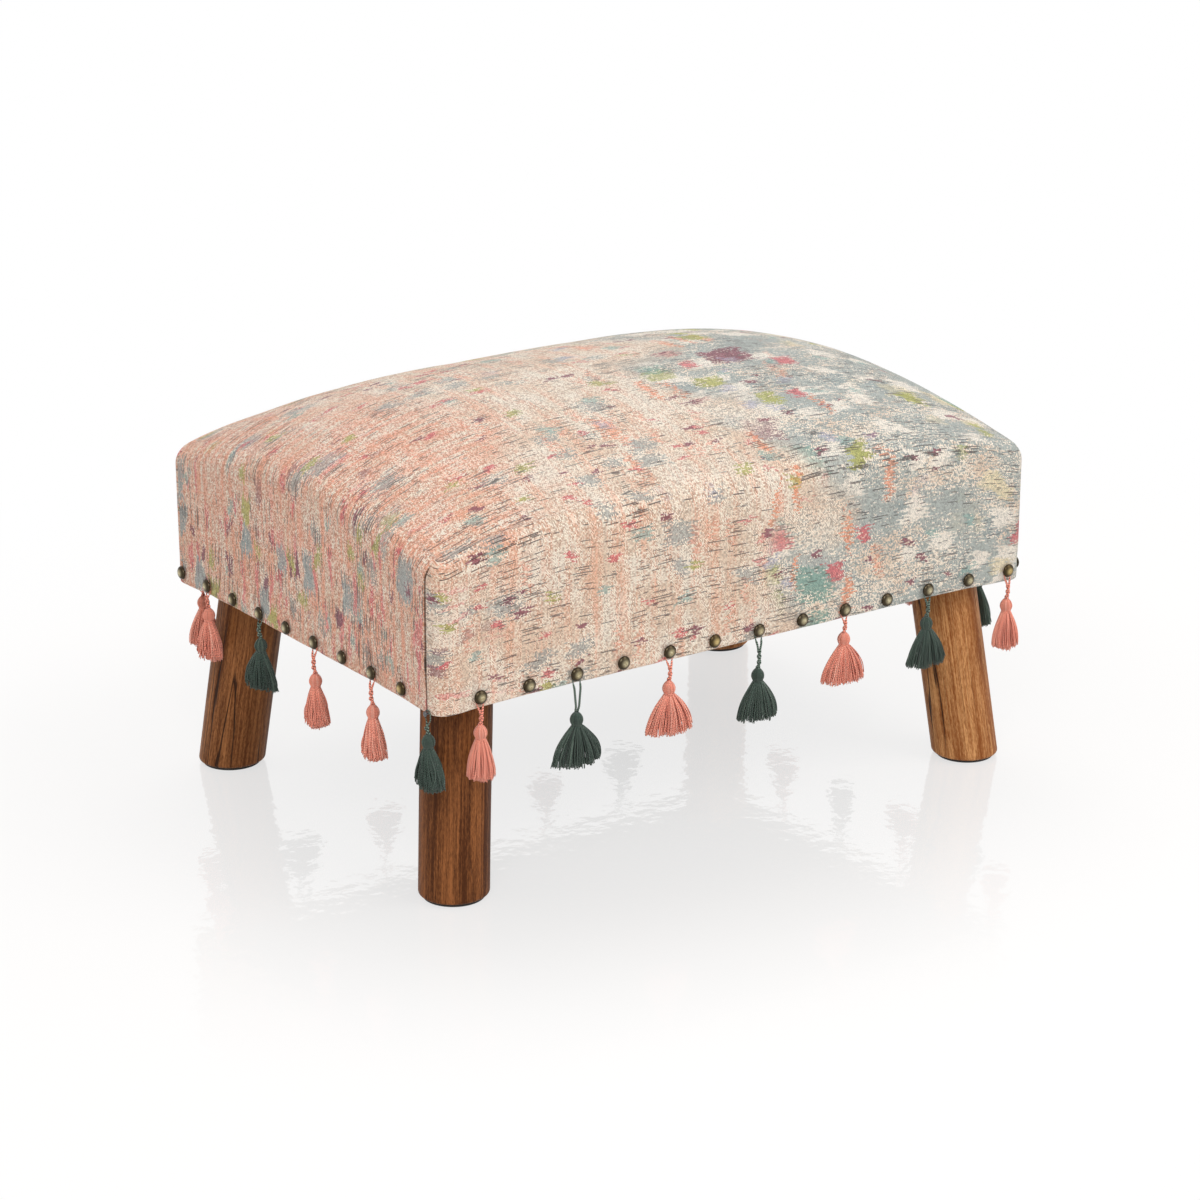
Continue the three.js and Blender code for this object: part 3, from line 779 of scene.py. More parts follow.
# Printed cloth: cream cotton with a faded print, pink towards the left end and grey-blue towards the
# right, with worn blocks of stronger colour and thin dark slubs along the stool
printed_cloth, tree, shader = new_material(
    "printed cloth", 0.92, Specular_IOR_Level=0.2, Sheen_Weight=0.3,
)
place = uv_place(tree, "cloth")
along, across, _ = split_up(place)
woven = use_group(tree, weave, {"Place": place, "Pitch": thread_pitch})
speck = woven["Speck"]
row = woven["Row"]
thread_wear = speck * 0.30 + noise_at(put_together(along * 120.0, row * 97.0), 1.0, 2.0, 0.6) * 0.95
wobble = add_node(tree, "ShaderNodeTexNoise", {
    "Vector": place, "Scale": 30.0, "Detail": 3.0, "Roughness": 0.6,
})
wobble = stretched(Field(wobble.outputs["Color"]), (0.022, 0.022, 0), (-0.011, -0.011, 0))
print_place = shifted(shifted(place, wobble), put_together((row - 0.5) * 0.009))

# The zones of the print along the stool, with wandering edges
end_line = (noise_at(place, 7.0, 3.0) - 0.5) * 0.34 + split_up(print_place)[0]
zones = {
    "left": graded(end_line, -0.02, 0.08, 1.0, 0.0),
    "left end": graded(end_line, -0.34, -0.24, 1.0, 0.0),
    "middle": graded(end_line, -0.14, -0.04) * graded(end_line, 0.1, 0.2, 1.0, 0.0),
    "right": graded(end_line, 0.02, 0.09),
    "right end": graded(end_line, 0.20, 0.27),
    "everywhere": 1.0,
}

# The ground: cream, with peach and salmon streaks to the left and worn grey-blue to the right
ground = noise_at(print_place, 22.0, 3.0, 0.6) + speck * 0.30
colour = mixed(graded(ground, 0.52, 0.74), "f3e7d6", "e6cdb5")
peach = noise_at(stretched(place, (75.0, 10.0, 1.0)), 1.0, 4.0, 0.65)
peach = peach + woven["Column"] * 0.10 + speck * 0.24
colour = mixed(graded(peach, 0.60, 0.88, 0.0, 0.72) * zones["left"], colour, "eeb190")
salmon = noise_at(stretched(place, (14.0, 150.0, 1.0)), 1.0, 4.0, 0.65) + speck * 0.24
salmon_share = graded(salmon, 0.44, 0.76, 0.0, 0.85) * graded(end_line, -0.27, -0.13, 1.0, 0.0)
off_front = graded(across, -0.25, -0.19, 0.15, 1.0)
colour = mixed(salmon_share * off_front, colour, "ee9f7c")
blue = noise_at(stretched(print_place, (10.0, 20.0, 1.0)), 1.0, 3.0, 0.62) + thread_wear * 0.85
colour = mixed(graded(blue, 0.90, 1.04, 0.0, 0.92) * zones["right"], colour, "a9b2ae")

# Each layer of print: its colour, its blocks' length and width, the share of blocks that are printed,
# how worn they are, their zone, and how strong the colour is
print_layers = [
    ("a0aba9", 0.050, 0.036, 0.24, 0.60, "right", 0.75),
    ("f7eee0", 0.036, 0.024, 0.34, 0.54, "right", 0.90),
    ("a8aba6", 0.034, 0.022, 0.20, 0.70, "left", 0.75),
    ("f29a70", 0.011, 0.050, 0.16, 0.62, "middle", 0.80),
    ("f2a283", 0.009, 0.036, 0.16, 0.68, "left", 0.55),
    ("ea7f7c", 0.040, 0.006, 0.20, 0.62, "left end", 0.80),
    ("a3afae", 0.042, 0.026, 0.14, 0.56, "left end", 0.85),
    ("7d3350", 0.024, 0.014, 0.085, 0.60, "left end", 0.85),
    ("b6b552", 0.026, 0.020, 0.045, 0.56, "left end", 0.80),
    ("f0dfb4", 0.044, 0.030, 0.36, 0.58, "right end", 0.70),
    ("b6b552", 0.020, 0.020, 0.075, 0.58, "right end", 0.80),
    ("de6469", 0.016, 0.009, 0.07, 0.66, "left", 0.80),
    ("d9666b", 0.030, 0.026, 0.07, 0.58, "right", 0.85),
    ("b6b552", 0.020, 0.015, 0.034, 0.66, "left", 0.75),
    ("b6b552", 0.034, 0.030, 0.085, 0.60, "right", 0.85),
    ("8c3a50", 0.056, 0.038, 0.065, 0.63, "right", 0.88),
    ("8c3a50", 0.014, 0.008, 0.035, 0.64, "everywhere", 0.85),
    ("7fa99b", 0.046, 0.036, 0.11, 0.65, "right", 0.80),
    ("8fb5ae", 0.020, 0.014, 0.045, 0.64, "everywhere", 0.65),
    ("bab6ca", 0.020, 0.018, 0.050, 0.62, "middle", 0.60),
]
for number, (dye, length, width, share, wear, zone, strength) in enumerate(print_layers, 1):
    printed = use_group(tree, worn_print, {
        "Place": print_place, "Thread": thread_wear, "Length": length, "Width": width,
        "Share": share, "Wear": wear, "Seed": float(number),
    })
    colour = mixed(printed["Mask"] * zones[zone] * strength, colour, dye)

# Slubs: short thick dark threads, each in its own row, and painted shade in the slit inside each corner's
# fold
slub_pitch = 0.0009
fold_shade_drops = (0.004, 0.012)
slub_row = (across + noise_at(place, 9.0, 1.0) * 0.012) / slub_pitch
slub_number = slub_row.step("FLOOR")
slub_random = random_tone(slub_number)
slub_level = noise_at(put_together(along * 40.0, slub_number), 1.0, 2.0, 0.6) + slub_random * 0.20
slub_zone = graded(noise_at(place, 12.0), 0.36, 0.62, 0.10, 0.0)
slub_profile = (slub_row.step("FRACT") * math.pi).step("SINE")
slubs = graded(slub_level - slub_zone, 0.668, 0.71) * graded(slub_profile, 0.15, 0.45)
colour = mixed(slubs * 0.85, colour, mixed(slub_random, "5c3c3e", "443a34"))
# Painted shade: a dark line down the slit inside each corner's fold
colour = mixed(number_on(tree, "fold_painted_shade") * 0.8, colour, "3a2a20")

# The weave's tones: the mottle, the threads that lie over and each thread's own tone are colour; the
# factor from the threads' height is painted shade in the dips between them
mottle = graded(woven["Melange"] * 0.9 + speck * 0.55, 0.60, 1.06, 1.02, 0.62)
thread_dip_shade = woven["Height"] * 0.26 + 0.84
over_shade = woven["Over"] * 0.16 + 0.93
thread_shade = (row + woven["Column"]) * 0.07 + 0.93
colour = shaded(colour, mottle * thread_dip_shade * over_shade * thread_shade)
dress(shader, colour, slubs * 0.8 + speck * 0.35 + woven["Height"], 0.8, 0.0005)


cover_outside, cover_lining, cloth_drops = cover_rings()
cover_form = closed_skin(
    cover_outside + cover_lining, crown_middle(0), crown_middle(cloth_thickness),
)
cover = show_mesh("cover_cloth", cover_form, "stool", printed_cloth)
lay_out_cloth(cover, cover_outside, cloth_drops)
# Where the painted shade of each corner's fold lies on the cover, fading in below the top's edge
beside_fold = np.minimum(np.roll(column_lifts, 1), np.roll(column_lifts, -1)) < 0
in_fold = ((column_lifts < 0) | (column_lifts > 0) & beside_fold).astype(float)
fold_shade_values = np.zeros(len(cover.data.vertices), np.float32)
for ring, drop in enumerate(cloth_drops):
    fold_shade_values[ring * column_count:(ring + 1) * column_count] = in_fold * smooth_step(*fold_shade_drops, drop)
write_numbers(cover, "fold_painted_shade", fold_shade_values)
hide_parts("cover")

# Hanger bolts: zinc-plated steel, with a wood screw driven up into the corner block and a machine
# thread down into the leg. Only the leg's own hole and the block show them when it is taken apart.
bolt_thread_pitch = 0.00125
zinc, tree, shader = new_material("zinc steel", 0.38, Metallic=1.0)
place = object_place(tree)
flake = split_up(cells_at(place, 260.0)[1])[0]
thread = (split_up(place)[2] * (2 * math.pi / bolt_thread_pitch)).step("SINE")
dress(shader, mixed(flake, "a9adb3", "c7c9cc"), thread, 0.9, 0.0006, Roughness=flake * 0.18 + 0.3)
for corner_name in corner_names:
    give_material(f"hanger_bolt_{corner_name}", zinc)

# Legs: round posts of oiled hardwood, splayed outwards both ways, sawn level at both ends and screwed
# to the frame by their bolts. The grain runs down them, with dark pores and a few long cracks. Each
# leg's tone is partly the wood's own and partly painted shade and light: the left legs are painted
# darker, the near one most, and the right legs lighter.
leg_diameter = 0.058
leg_splay_along = 0.108
leg_splay_across = 0.117
foot_edge_radius = 0.0028
foot_edge_steps = 5
leg_side_count = 96
leg_ring_count = 64
leg_unevenness = 0.00035
lumps_round = 0.9
lumps_along = 9
place_in_log = np.array([0.013, 0.021, 0])
next_in_log = np.array([0.01, 0, 0.4])
mounts = {mount["name"]: Vector(mount["pos_m"]) for mount in frame["record"]["mounts"]}
# Each leg's tone, which is partly the wood's own colour and partly painted shade and light
leg_tones_and_shade = {"front_left": 0.16, "front_right": 0.9, "back_right": 0.75, "back_left": 0.30}

leg_wood, tree, shader = new_material("acacia", 0.5, Specular_IOR_Level=0.12)
place = Field(add_node(tree, "ShaderNodeAttribute", attribute_name="grain_place").outputs["Vector"])
found = use_group(tree, grain, {
    "Place": place, "Streak pitch": 0.0015, "Ring pitch": 0.0062, "Draw": 0.012,
})
broad_streaks = noise_at(stretched(place, (70.0, 70.0, 3.2)), 1.0, 3.0, 0.55)
fine_streaks = noise_at(stretched(place, (520.0, 520.0, 9.0)), 1.0, 3.0, 0.65)
flecks = noise_at(stretched(place, (1100.0, 1100.0, 260.0)), 1.0, 3.0, 0.6)
figure = found["Tone"] * 0.18 + broad_streaks * 0.62 + fine_streaks * 0.50 + flecks * 0.42
figure = graded(figure, 0.64, 1.04)
# Darker and lighter copies of the wood, mixed by each leg's tone: partly wood colour, partly painted
# shade and light
dark_shaded_wood = mixed(figure, "88491f", "2c1205")
light_lit_wood = mixed(figure, "e0a76e", "8c5024")
colour = mixed(number_on(tree, "wood_tone_and_shade"), dark_shaded_wood, light_lit_wood)
colour = mixed(found["Pores"] * 0.6, colour, "371c0c")
crack_line = (noise_at(stretched(place, (48.0, 48.0, 3.6)), 1.0, 3.0, 0.45) - 0.5).step("ABSOLUTE")
crack_zone = noise_at(stretched(place, (30.0, 30.0, 6.0), (3, 1, 2)), 1.0, 1.0)
cracks = graded(crack_line, 0.006, 0.018, 1.0, 0.0) * graded(crack_zone, 0.53, 0.62)
dress(
    shader, mixed(cracks * 0.9, colour, "241006"), found["Height"] - cracks * 3.0, 0.5, 0.0006,
    Roughness=found["Tone"] * 0.16 + 0.42,
)


def leg_centre(corner, height):
    """The middle of a leg at a height. It leans in towards the stool as it rises."""
    foot = mounts[f"foot_{corner}"]
    pad_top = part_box(f"foot_pad_{corner}")[1].z
    rise = height - pad_top
    return np.array([
        foot.x - math.copysign(leg_splay_along * rise, foot.x),
        foot.y - math.copysign(leg_splay_across * rise, foot.y),
        height,
    ])


def make_leg(corner):
    """A leg built up in level rings, with each point's place in the grain of the log it is cut from."""
    low, high = (point.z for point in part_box(f"leg_{corner}"))
    lean = leg_centre(corner, high) - leg_centre(corner, low)
    axis = lean / np.linalg.norm(lean)
    seed = corner_names.index(corner)
    in_log = place_in_log + next_in_log * seed
    levels = [(low, leg_diameter / 2 - foot_edge_radius)]
    for turn in quarter_turns(foot_edge_steps):
        levels.append((
            low + foot_edge_radius * (1 - math.cos(turn)),
            leg_diameter / 2 - foot_edge_radius * (1 - math.sin(turn)),
        ))
    heights = np.linspace(levels[-1][0], high, leg_ring_count)[1:]
    levels += [(height, leg_diameter / 2) for height in heights]
    turns = np.linspace(0, 2 * math.pi, leg_side_count, endpoint=False)
    lean_way = axis[:2] / np.linalg.norm(axis[:2])
    cross_way = np.array([-lean_way[1], lean_way[0]])
    rings, places = [], []
    for height, radius in levels:
        centre = leg_centre(corner, height)
        upward = height * lumps_along + 20 * seed
        uneven = np.array([
            noise.noise(Vector((math.cos(turn) * lumps_round, math.sin(turn) * lumps_round, upward)))
            for turn in turns
        ])
        size = radius + leg_unevenness * (uneven - 1)
        flat = np.outer(np.cos(turns) * size / axis[2], lean_way)
        flat += np.outer(np.sin(turns) * size, cross_way)
        rings.append(at_height(centre[:2] + flat, height))
        round_log = np.column_stack([np.cos(turns), np.sin(turns)]) * size[:, None]
        places.append(in_log + at_height(round_log, height))
    rings.reverse()
    places.reverse()
    form = closed_skin(rings, leg_centre(corner, high), leg_centre(corner, low))
    leg = show_mesh(f"leg_post_{corner}", form, "stool", leg_wood)
    grain_place = leg.data.attributes.new("grain_place", "FLOAT_VECTOR", "POINT")
    ends = np.array([(0, 0, high), (0, 0, low)]) + in_log
    grain_place.data.foreach_set("vector", np.vstack([*places, ends]).astype(np.float32).ravel())
    write_numbers(leg, "wood_tone_and_shade", np.full(len(form[0]), leg_tones_and_shade[corner]))
    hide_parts(f"leg_{corner}")


for corner_name in corner_names:
    make_leg(corner_name)

# Foot pads: thin round discs of black rubber, glued under the legs so that they don't mark a floor.
# Their edges are moulded round.
pad_edge_radius = 0.0008
pad_edge_steps = 2
pad_side_count = 64
pad_rubber, tree, shader = new_material("pad rubber", 0.7, Specular_IOR_Level=0.4)
grit = noise_at(object_place(tree), 1400.0, 2.0, 0.7)
dress(shader, mixed(grit, "1d1b1a", "37332f"), grit, 0.4, 0.0003)


def turned_form(profile, side_count, centre=(0, 0, 0), right=(1, 0, 0), up=(0, 1, 0), out=(0, 0, 1)):
    """The points and faces of a round form, from its (radius, height) points, top first."""
    turns = np.linspace(0, 2 * math.pi, side_count, endpoint=False)
    right, up, out = (np.array(way) for way in (right, up, out))
    rings = [
        centre + radius * (np.outer(np.cos(turns), right) + np.outer(np.sin(turns), up)) + height * out
        for radius, height in profile[1:-1]
    ]
    return closed_skin(rings, centre + profile[0][1] * out, centre + profile[-1][1] * out)


for corner_name in corner_names:
    pad_low, pad_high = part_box(f"foot_pad_{corner_name}")
    pad_radius = (pad_high.x - pad_low.x) / 2
    inner_radius = pad_radius - pad_edge_radius
    top_edge, low_edge = [], []
    for turn in (0, *quarter_turns(pad_edge_steps)):
        across, drop = pad_edge_radius * math.sin(turn), pad_edge_radius * (1 - math.cos(turn))
        top_edge.append((inner_radius + across, pad_high.z - drop))
        low_edge.append((pad_radius - drop, pad_edge_radius - across))
    profile = [(0, pad_high.z), *top_edge, *low_edge, (0, 0)]
    centre = (pad_low + pad_high) / 2
    pad_form = turned_form(profile, pad_side_count, (centre.x, centre.y, 0))
    pad = show_mesh(f"rubber_foot_{corner_name}", pad_form, "stool", pad_rubber)
    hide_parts(f"foot_pad_{corner_name}")

# Dust cover: a sheet of thin black non-woven cloth under the frame, stapled over the turned-in hem.
# The legs' bolts pass through holes that are cut in it.
dust_low, dust_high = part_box("dust_cover")
dust_size = dust_high - dust_low
dust_cell = 0.005
bolt_hole_radius = 0.0045
cut_reach = 0.75 * dust_cell
hole_edge_reach = bolt_hole_radius + 0.7 * dust_cell
dust_sag = 0.0003
dust_sag_lumps = 12
dust_cloth, tree, shader = new_material("black dust cloth", 0.9, Specular_IOR_Level=0.2)
place = object_place(tree)
felt = noise_at(place, 700.0, 3.0, 0.7)
dimples, _ = cells_at(place, 480.0)
dress(shader, mixed(felt, "161515", "2e2c2b"), dimples + felt, 0.5, 0.0004)


def make_dust_cover():
    """The sheet's two faces and its edges, with a round hole where each bolt passes."""
    x_count, y_count = (round(size / dust_cell) + 1 for size in dust_size[:2])
    x_steps = np.linspace(dust_low.x, dust_high.x, x_count)
    y_steps = np.linspace(dust_low.y, dust_high.y, y_count)
    points = np.array([(x, y) for y in y_steps for x in x_steps])
    bolts = [leg_centre(corner, dust_low.z)[:2] for corner in corner_names]
    cut = np.zeros(len(points), bool)
    for bolt in bolts:
        away = points - bolt
        far = np.linalg.norm(away, axis=1)
        cut |= far < cut_reach
        near = (far < hole_edge_reach) & ~cut
        points[near] = bolt + away[near] / far[near][:, None] * bolt_hole_radius
    lumps = [noise.noise(Vector((x * dust_sag_lumps, y * dust_sag_lumps, 3.3))) for x, y in points]
    sheet = np.column_stack([points, (dust_low.z + dust_high.z) / 2 + dust_sag * np.array(lumps)])
    faces = []
    for row in range(y_count - 1):
        for column in range(x_count - 1):
            at = row * x_count + column
            corners = (at, at + 1, at + 1 + x_count, at + x_count)
            if not cut[list(corners)].any():
                faces.append(corners)
    used, numbers = np.unique(faces, return_inverse=True)
    faces = numbers.reshape(-1, 4).tolist()
    made = show_mesh("dust_sheet", (sheet[used], faces), "stool", dust_cloth)
    thicken = made.modifiers.new("thickness", "SOLIDIFY")
    thicken.thickness = dust_size.z
    thicken.offset = 0
    return made


dust_sheet = make_dust_cover()
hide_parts("dust_cover")

# Nails: round-head upholstery nails of antiqued brass, driven through the cloth along the hem. They
# hold in a strip of thin board behind the cloth. Their domes are bronze or now and then gold, rubbed
# bright in places, and darker towards the edge, partly from the brass's dark antiquing and partly as
# painted shade, which leaves a lighter middle that stands in for a painted highlight.
nail_head_radius = 0.0058
nail_head_height = 0.003
nail_stand_off = 0.0019
nail_shank_radius = 0.001
nail_bite = 0.0135
nail_side_count = 36
nail_tilt = 0.012
nail_dome_steps = 8
nail_underside = [(0.985, -0.0003), (0.93, -0.0001), (0.8, 0.0004)]
nail_hollow = 0.0012
shank_side_count = 12
shank_top = 0.001
shank_point = [(1, -0.8), (0.5, -0.93), (0, -1)]
golden_nail_share = 0.15
strip_above_hem = 0.0025
strip_height = 0.012
strip_thickness = 0.0016
strip_depth = 0.0047
strip_edge = 0.0003

antique_brass, tree, shader = new_material("antique brass", 0.3, Metallic=1.0)
place = object_place(tree)
tarnish = noise_at(place, 620.0, 4.0, 0.65)
is_rubbed = graded(tarnish, 0.30, 0.72)
bronze = mixed(is_rubbed, "8a7c5e", "e6dbb6")
gold = mixed(is_rubbed, "b09256", "e2c98c")
# Darker towards each dome's edge: partly the brass's antiquing and partly painted shade
antiquing_and_rim_shade = graded(tarnish * 0.60 + number_on(tree, "rim"), 0.38, 1.08, 0.0, 0.94)
colour = mixed(antiquing_and_rim_shade, mixed(number_on(tree, "gild"), bronze, gold), "2b2118")
relief = tarnish + noise_at(place, 2400.0, 2.0, 0.6) * 0.4
dress(shader, colour, relief, 0.12, 0.0004, Roughness=graded(tarnish, 0.3, 0.7, 0.28, 0.18))

strip_board, tree, shader = new_material("strip board", 0.85)
pulp = noise_at(object_place(tree), 420.0, 4.0, 0.7)
dress(shader, mixed(pulp, "a98a63", "c7ab83"), pulp, 0.3, 0.0004)


def join_forms(forms):
    """Several closed forms as the points and faces of one mesh."""
    points, faces, first = [], [], 0
    for form_points, form_faces in forms:
        points.append(np.asarray(form_points))
        faces += [tuple(first + corner for corner in face) for face in form_faces]
        first += len(form_points)
    return np.vstack(points), faces


def make_nail(place, along, out, draw):
    """A dome and its shank, with how near each point is to the rim."""
    tilt_along, tilt_up = draw.gauss(0, nail_tilt), draw.gauss(0, nail_tilt)
    facing = (out + along * tilt_along + Vector((0, 0, tilt_up))).normalized()
    right = Vector((0, 0, 1)).cross(facing).normalized()
    upward = facing.cross(right)
    base = nail_stand_off
    dome = [(0, base + nail_head_height)]
    for turn in quarter_turns(nail_dome_steps):
        dome.append((nail_head_radius * math.sin(turn), base + nail_head_height * math.cos(turn)))
    dome += [(nail_head_radius * share, base + height) for share, height in nail_underside]
    dome += [(nail_shank_radius, base + nail_hollow), (0, base + nail_hollow)]
    ways = (np.array(place), np.array(right), np.array(upward), np.array(facing))
    head = turned_form(dome, nail_side_count, *ways)
    shank_profile = [(0, base + shank_top), (nail_shank_radius, base + shank_top)]
    shank_profile += [(nail_shank_radius * share, nail_bite * depth) for share, depth in shank_point]
    shank = turned_form(shank_profile, shank_side_count, *ways)
    from_axis = np.linalg.norm(np.cross(head[0] - np.array(place), np.array(facing)), axis=1)
    rims = np.concatenate([from_axis / nail_head_radius, np.zeros(len(shank[0]))])
    return join_forms([head, shank]), rims


def board_form(middle, along, out, size, edge):
    """The points and faces of a flat board with its edges eased, upright on its long edge."""
    ways = np.array([along, out, (0, 0, 1)])
    half = np.array(size) / 2
    made = bmesh.new()
    for corner in itertools.product((-1, 1), repeat=3):
        made.verts.new(tuple(np.array(middle) + (np.array(corner) * half) @ ways))
    bmesh.ops.convex_hull(made, input=made.verts[:])
    bmesh.ops.dissolve_limit(made, angle_limit=0.01, verts=made.verts[:], edges=made.edges[:])
    bmesh.ops.bevel(made, geom=made.edges[:], offset=edge, segments=2, profile=0.5, affect="EDGES")
    made.verts.index_update()
    points = [tuple(vertex.co) for vertex in made.verts]
    faces = [tuple(vertex.index for vertex in face.verts) for face in made.faces]
    made.free()
    return points, faces


nail_draw = random.Random(41)
for side_name, (along, out) in sides.items():
    nail_forms, rims, gilds = [], [], []
    for nail_place, _ in nail_places(side_name):
        form, nail_rims = make_nail(nail_place, along, out, nail_draw)
        nail_forms.append(form)
        rims.append(nail_rims)
        gild_share = 0.8 if nail_draw.random() < golden_nail_share else 0.15 * nail_draw.random()
        gilds.append(np.full(len(nail_rims), gild_share))
    nail_form = join_forms(nail_forms)
    nails = show_mesh(f"nails_{side_name}", nail_form, "stool", antique_brass)
    write_numbers(nails, "rim", np.concatenate(rims))
    write_numbers(nails, "gild", np.concatenate(gilds))
    row_low, row_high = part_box(f"nail_row_{side_name}")
    strip_run = (row_high - row_low).dot(Vector([abs(part) for part in along]))
    face = half_length if side_name in short_sides else half_depth
    strip_middle = out * (face - strip_depth)
    strip_middle.z = hem_height + strip_above_hem + strip_height / 2
    strip_size = (strip_run, strip_thickness, strip_height)
    strip_form = board_form(strip_middle, along, out, strip_size, strip_edge)
    strip = show_mesh(f"tack_strip_{side_name}", strip_form, "stool", strip_board)
    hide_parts(f"nail_row_{side_name}")
    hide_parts(f"nail_row_{side_name}")

# Corner tack: a hooked tack of dull zinc-plated steel, driven up under the near corner. The corner's
# tassel hangs on it, so its head lies just outside the cloth.
plain_zinc, tree, shader = new_material("plain zinc", 0.36, Metallic=1.0)
dulling = noise_at(object_place(tree), 700.0, 3.0, 0.6)
dress(shader, mixed(dulling, "4e5052", "7a7c7e"), dulling, 0.2, 0.0003)

tack_low, tack_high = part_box("corner_tack")
tack_wire_radius = 0.0009
tack_wire_sides = 14
tack_bend = 0.003
tack_bend_steps = 8
tack_ring_count = 10
knob_side_count = 28
knob_base = 0.0006
knob_height = 0.0010
knob_rim = 0.0003
knob_turns = (0.4, 0.8, 1.2, math.pi / 2)


def tube_form(path, radius, side_count, across=None, lobes=0.0, twist_pitch=1.0):
    """A closed round tube along a path, with a twisted two-lobed section if lobes is above zero."""
    path = np.asarray(path, float)
    steps = np.gradient(path, axis=0)
    steps /= np.linalg.norm(steps, axis=1)[:, None]
    side_way = np.array(across if across is not None else (0, 0, 1), float)
    turns = np.linspace(0, 2 * math.pi, side_count, endpoint=False)
    travelled = np.concatenate([[0], np.linalg.norm(np.diff(path, axis=0), axis=1).cumsum()])
    radii = np.broadcast_to(radius, len(path))
    rings = []
    for point, step, size, far in zip(path, steps, radii, travelled):
        side_way = side_way - step * side_way.dot(step)
        side_way /= np.linalg.norm(side_way)
        other = np.cross(step, side_way)
        reach = size * (1 + lobes * (np.abs(np.cos(turns - 2 * math.pi * far / twist_pitch)) - 1))
        rings.append(
            point + np.outer(reach * np.cos(turns), side_way) + np.outer(reach * np.sin(turns), other)
        )
    points = np.vstack([*rings, [path[0]], [path[-1]]])
    faces = [face[::-1] for face in ring_faces(len(rings), side_count)]
    faces += fan_faces(len(points) - 2, 0, side_count, turned=True)
    faces += fan_faces(len(points) - 1, (len(rings) - 1) * side_count, side_count)
    return points, faces


def make_corner_tack():
    """The bent wire and the knob on its end."""
    pivot = hinge_places["tassel_corner"]
    stand_x = tack_high.x - tack_wire_radius
    arm_height = pivot.z
    heights = np.linspace(tack_high.z, arm_height + tack_bend, tack_ring_count)
    path = [(stand_x, pivot.y, height) for height in heights]
    for turn in quarter_turns(tack_bend_steps)[:-1]:
        path.append((
            stand_x - tack_bend * (1 - math.cos(turn)), pivot.y,
            arm_height + tack_bend * (1 - math.sin(turn)),
        ))
    arm = np.linspace(stand_x - tack_bend, tack_low.x + 0.0004, tack_ring_count)
    path += [(at, pivot.y, arm_height) for at in arm]
    wire = tube_form(path, tack_wire_radius, tack_wire_sides, across=(0, 1, 0))
    knob_radius = (tack_high.y - tack_low.y) / 2
    knob_profile = [(0, knob_height)]
    knob_profile += [(knob_radius * math.sin(turn), knob_height * math.cos(turn)) for turn in knob_turns]
    knob_profile += [(knob_radius * 0.9, -knob_rim), (0, -knob_rim)]
    knob_centre = np.array([tack_low.x + knob_base, pivot.y, arm_height])
    knob = turned_form(knob_profile, knob_side_count, knob_centre, (0, -1, 0), (0, 0, 1), (-1, 0, 0))
    tack = show_mesh("hooked_tack", join_forms([wire, knob]), "stool", plain_zinc)
    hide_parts("corner_tack")


make_corner_tack()

# Tassels: cotton yarn in pink or green. Each is a bundle of strands, tied at the top, bound at the
# neck and cut below, and hangs by a loop of plied yarn over a nail's shank. The nail's head pinches
# the loop there.
# Drops are measured down from the nail.
ply_reach = 0.00102
pinched_reach = 0.00052
pinch_drops = (0.0066, 0.0100)
loop_bow = 0.0014
bow_drops = (0.0060, 0.0125)
bow_end_height = 0.006
loop_radius = 0.0036
loop_arc_count = 22
loop_step = 0.00045
loop_tuck = 0.001
loop_gap_share = 1.03
loop_centre_drop = 0.00085
loop_split_share = 0.5
loop_open_drop = 0.0045
loop_turn_pitch = 0.0098
loop_ease_drop = 0.002
plain_loops = ("tassel_front_2",)
# Each yarn's loop tone, lifted for green so that its painted highlights show, and the strength of its
# painted ply shade and highlight
loop_tones_and_ply_shading = {"pink_yarn": (0.36, 0.60), "green_yarn": (0.85, 1.00)}
skirt_ply_shading = 0.12
tassel_head_radius = 0.0053
tassel_head_height = 0.011
tassel_neck_radius = 0.0038
skirt_length = 0.0355
skirt_half_depth = 0.0085
skirt_skew_share = 0.55
skirt_rise_across = 0.13
skirt_rise_out = 0.05
skirt_tuck = 0.001
head_strand_count = 34
skirt_strand_count = 300
clump_count = 15
clump_gather = 0.0012
clump_length_share = 0.04
strand_length_spread = 0.018
strand_wave = 0.0008
stray_share = 0.05
strand_radius = 0.00044
strand_sides = 5
head_top_share = 0.06
head_ball_share = 0.76
head_roundness = 0.72
head_strand_steps = 8
head_strand_least = 0.0009
head_strand_sink_share = 0.6
head_strand_sway = 0.05
head_turn_spread = 0.3
head_tone = 0.55
head_tone_spread = 0.16
neck_tuck = 0.0004
core_top_radius = 0.0022
core_top_depth = 0.0003
core_least_radius = 0.001
core_foot_radius = 0.0030
core_foot_depth = 0.002
core_steps = 8
core_sides = 20
core_shade_tone = 0.25
root_tuck = 0.0006
skirt_strand_steps = 10
skirt_bell = 0.55
skirt_bell_spread = 0.4
skirt_tone = 0.54
skirt_tone_spread = 0.13
clump_tone = 0.12
inner_shade = 0.22
stray_reach = 1.06
tip_radius_share = 0.82
ply_turn_length = 0.0020
binding_radius = 0.00042
binding_turns = 3.2
binding_rise = 0.0012
binding_height = 0.0026
binding_point_count = 64
binding_sides = 6
binding_tone = 0.5
loop_sides = 10
loop_lobes = 0.42
loop_ply_pitch = 0.0040
yarn_slots = {part["node"]: part["material_slot"] for part in frame["record"]["subparts"]}
golden_share = 0.618034
second_share = 0.754878
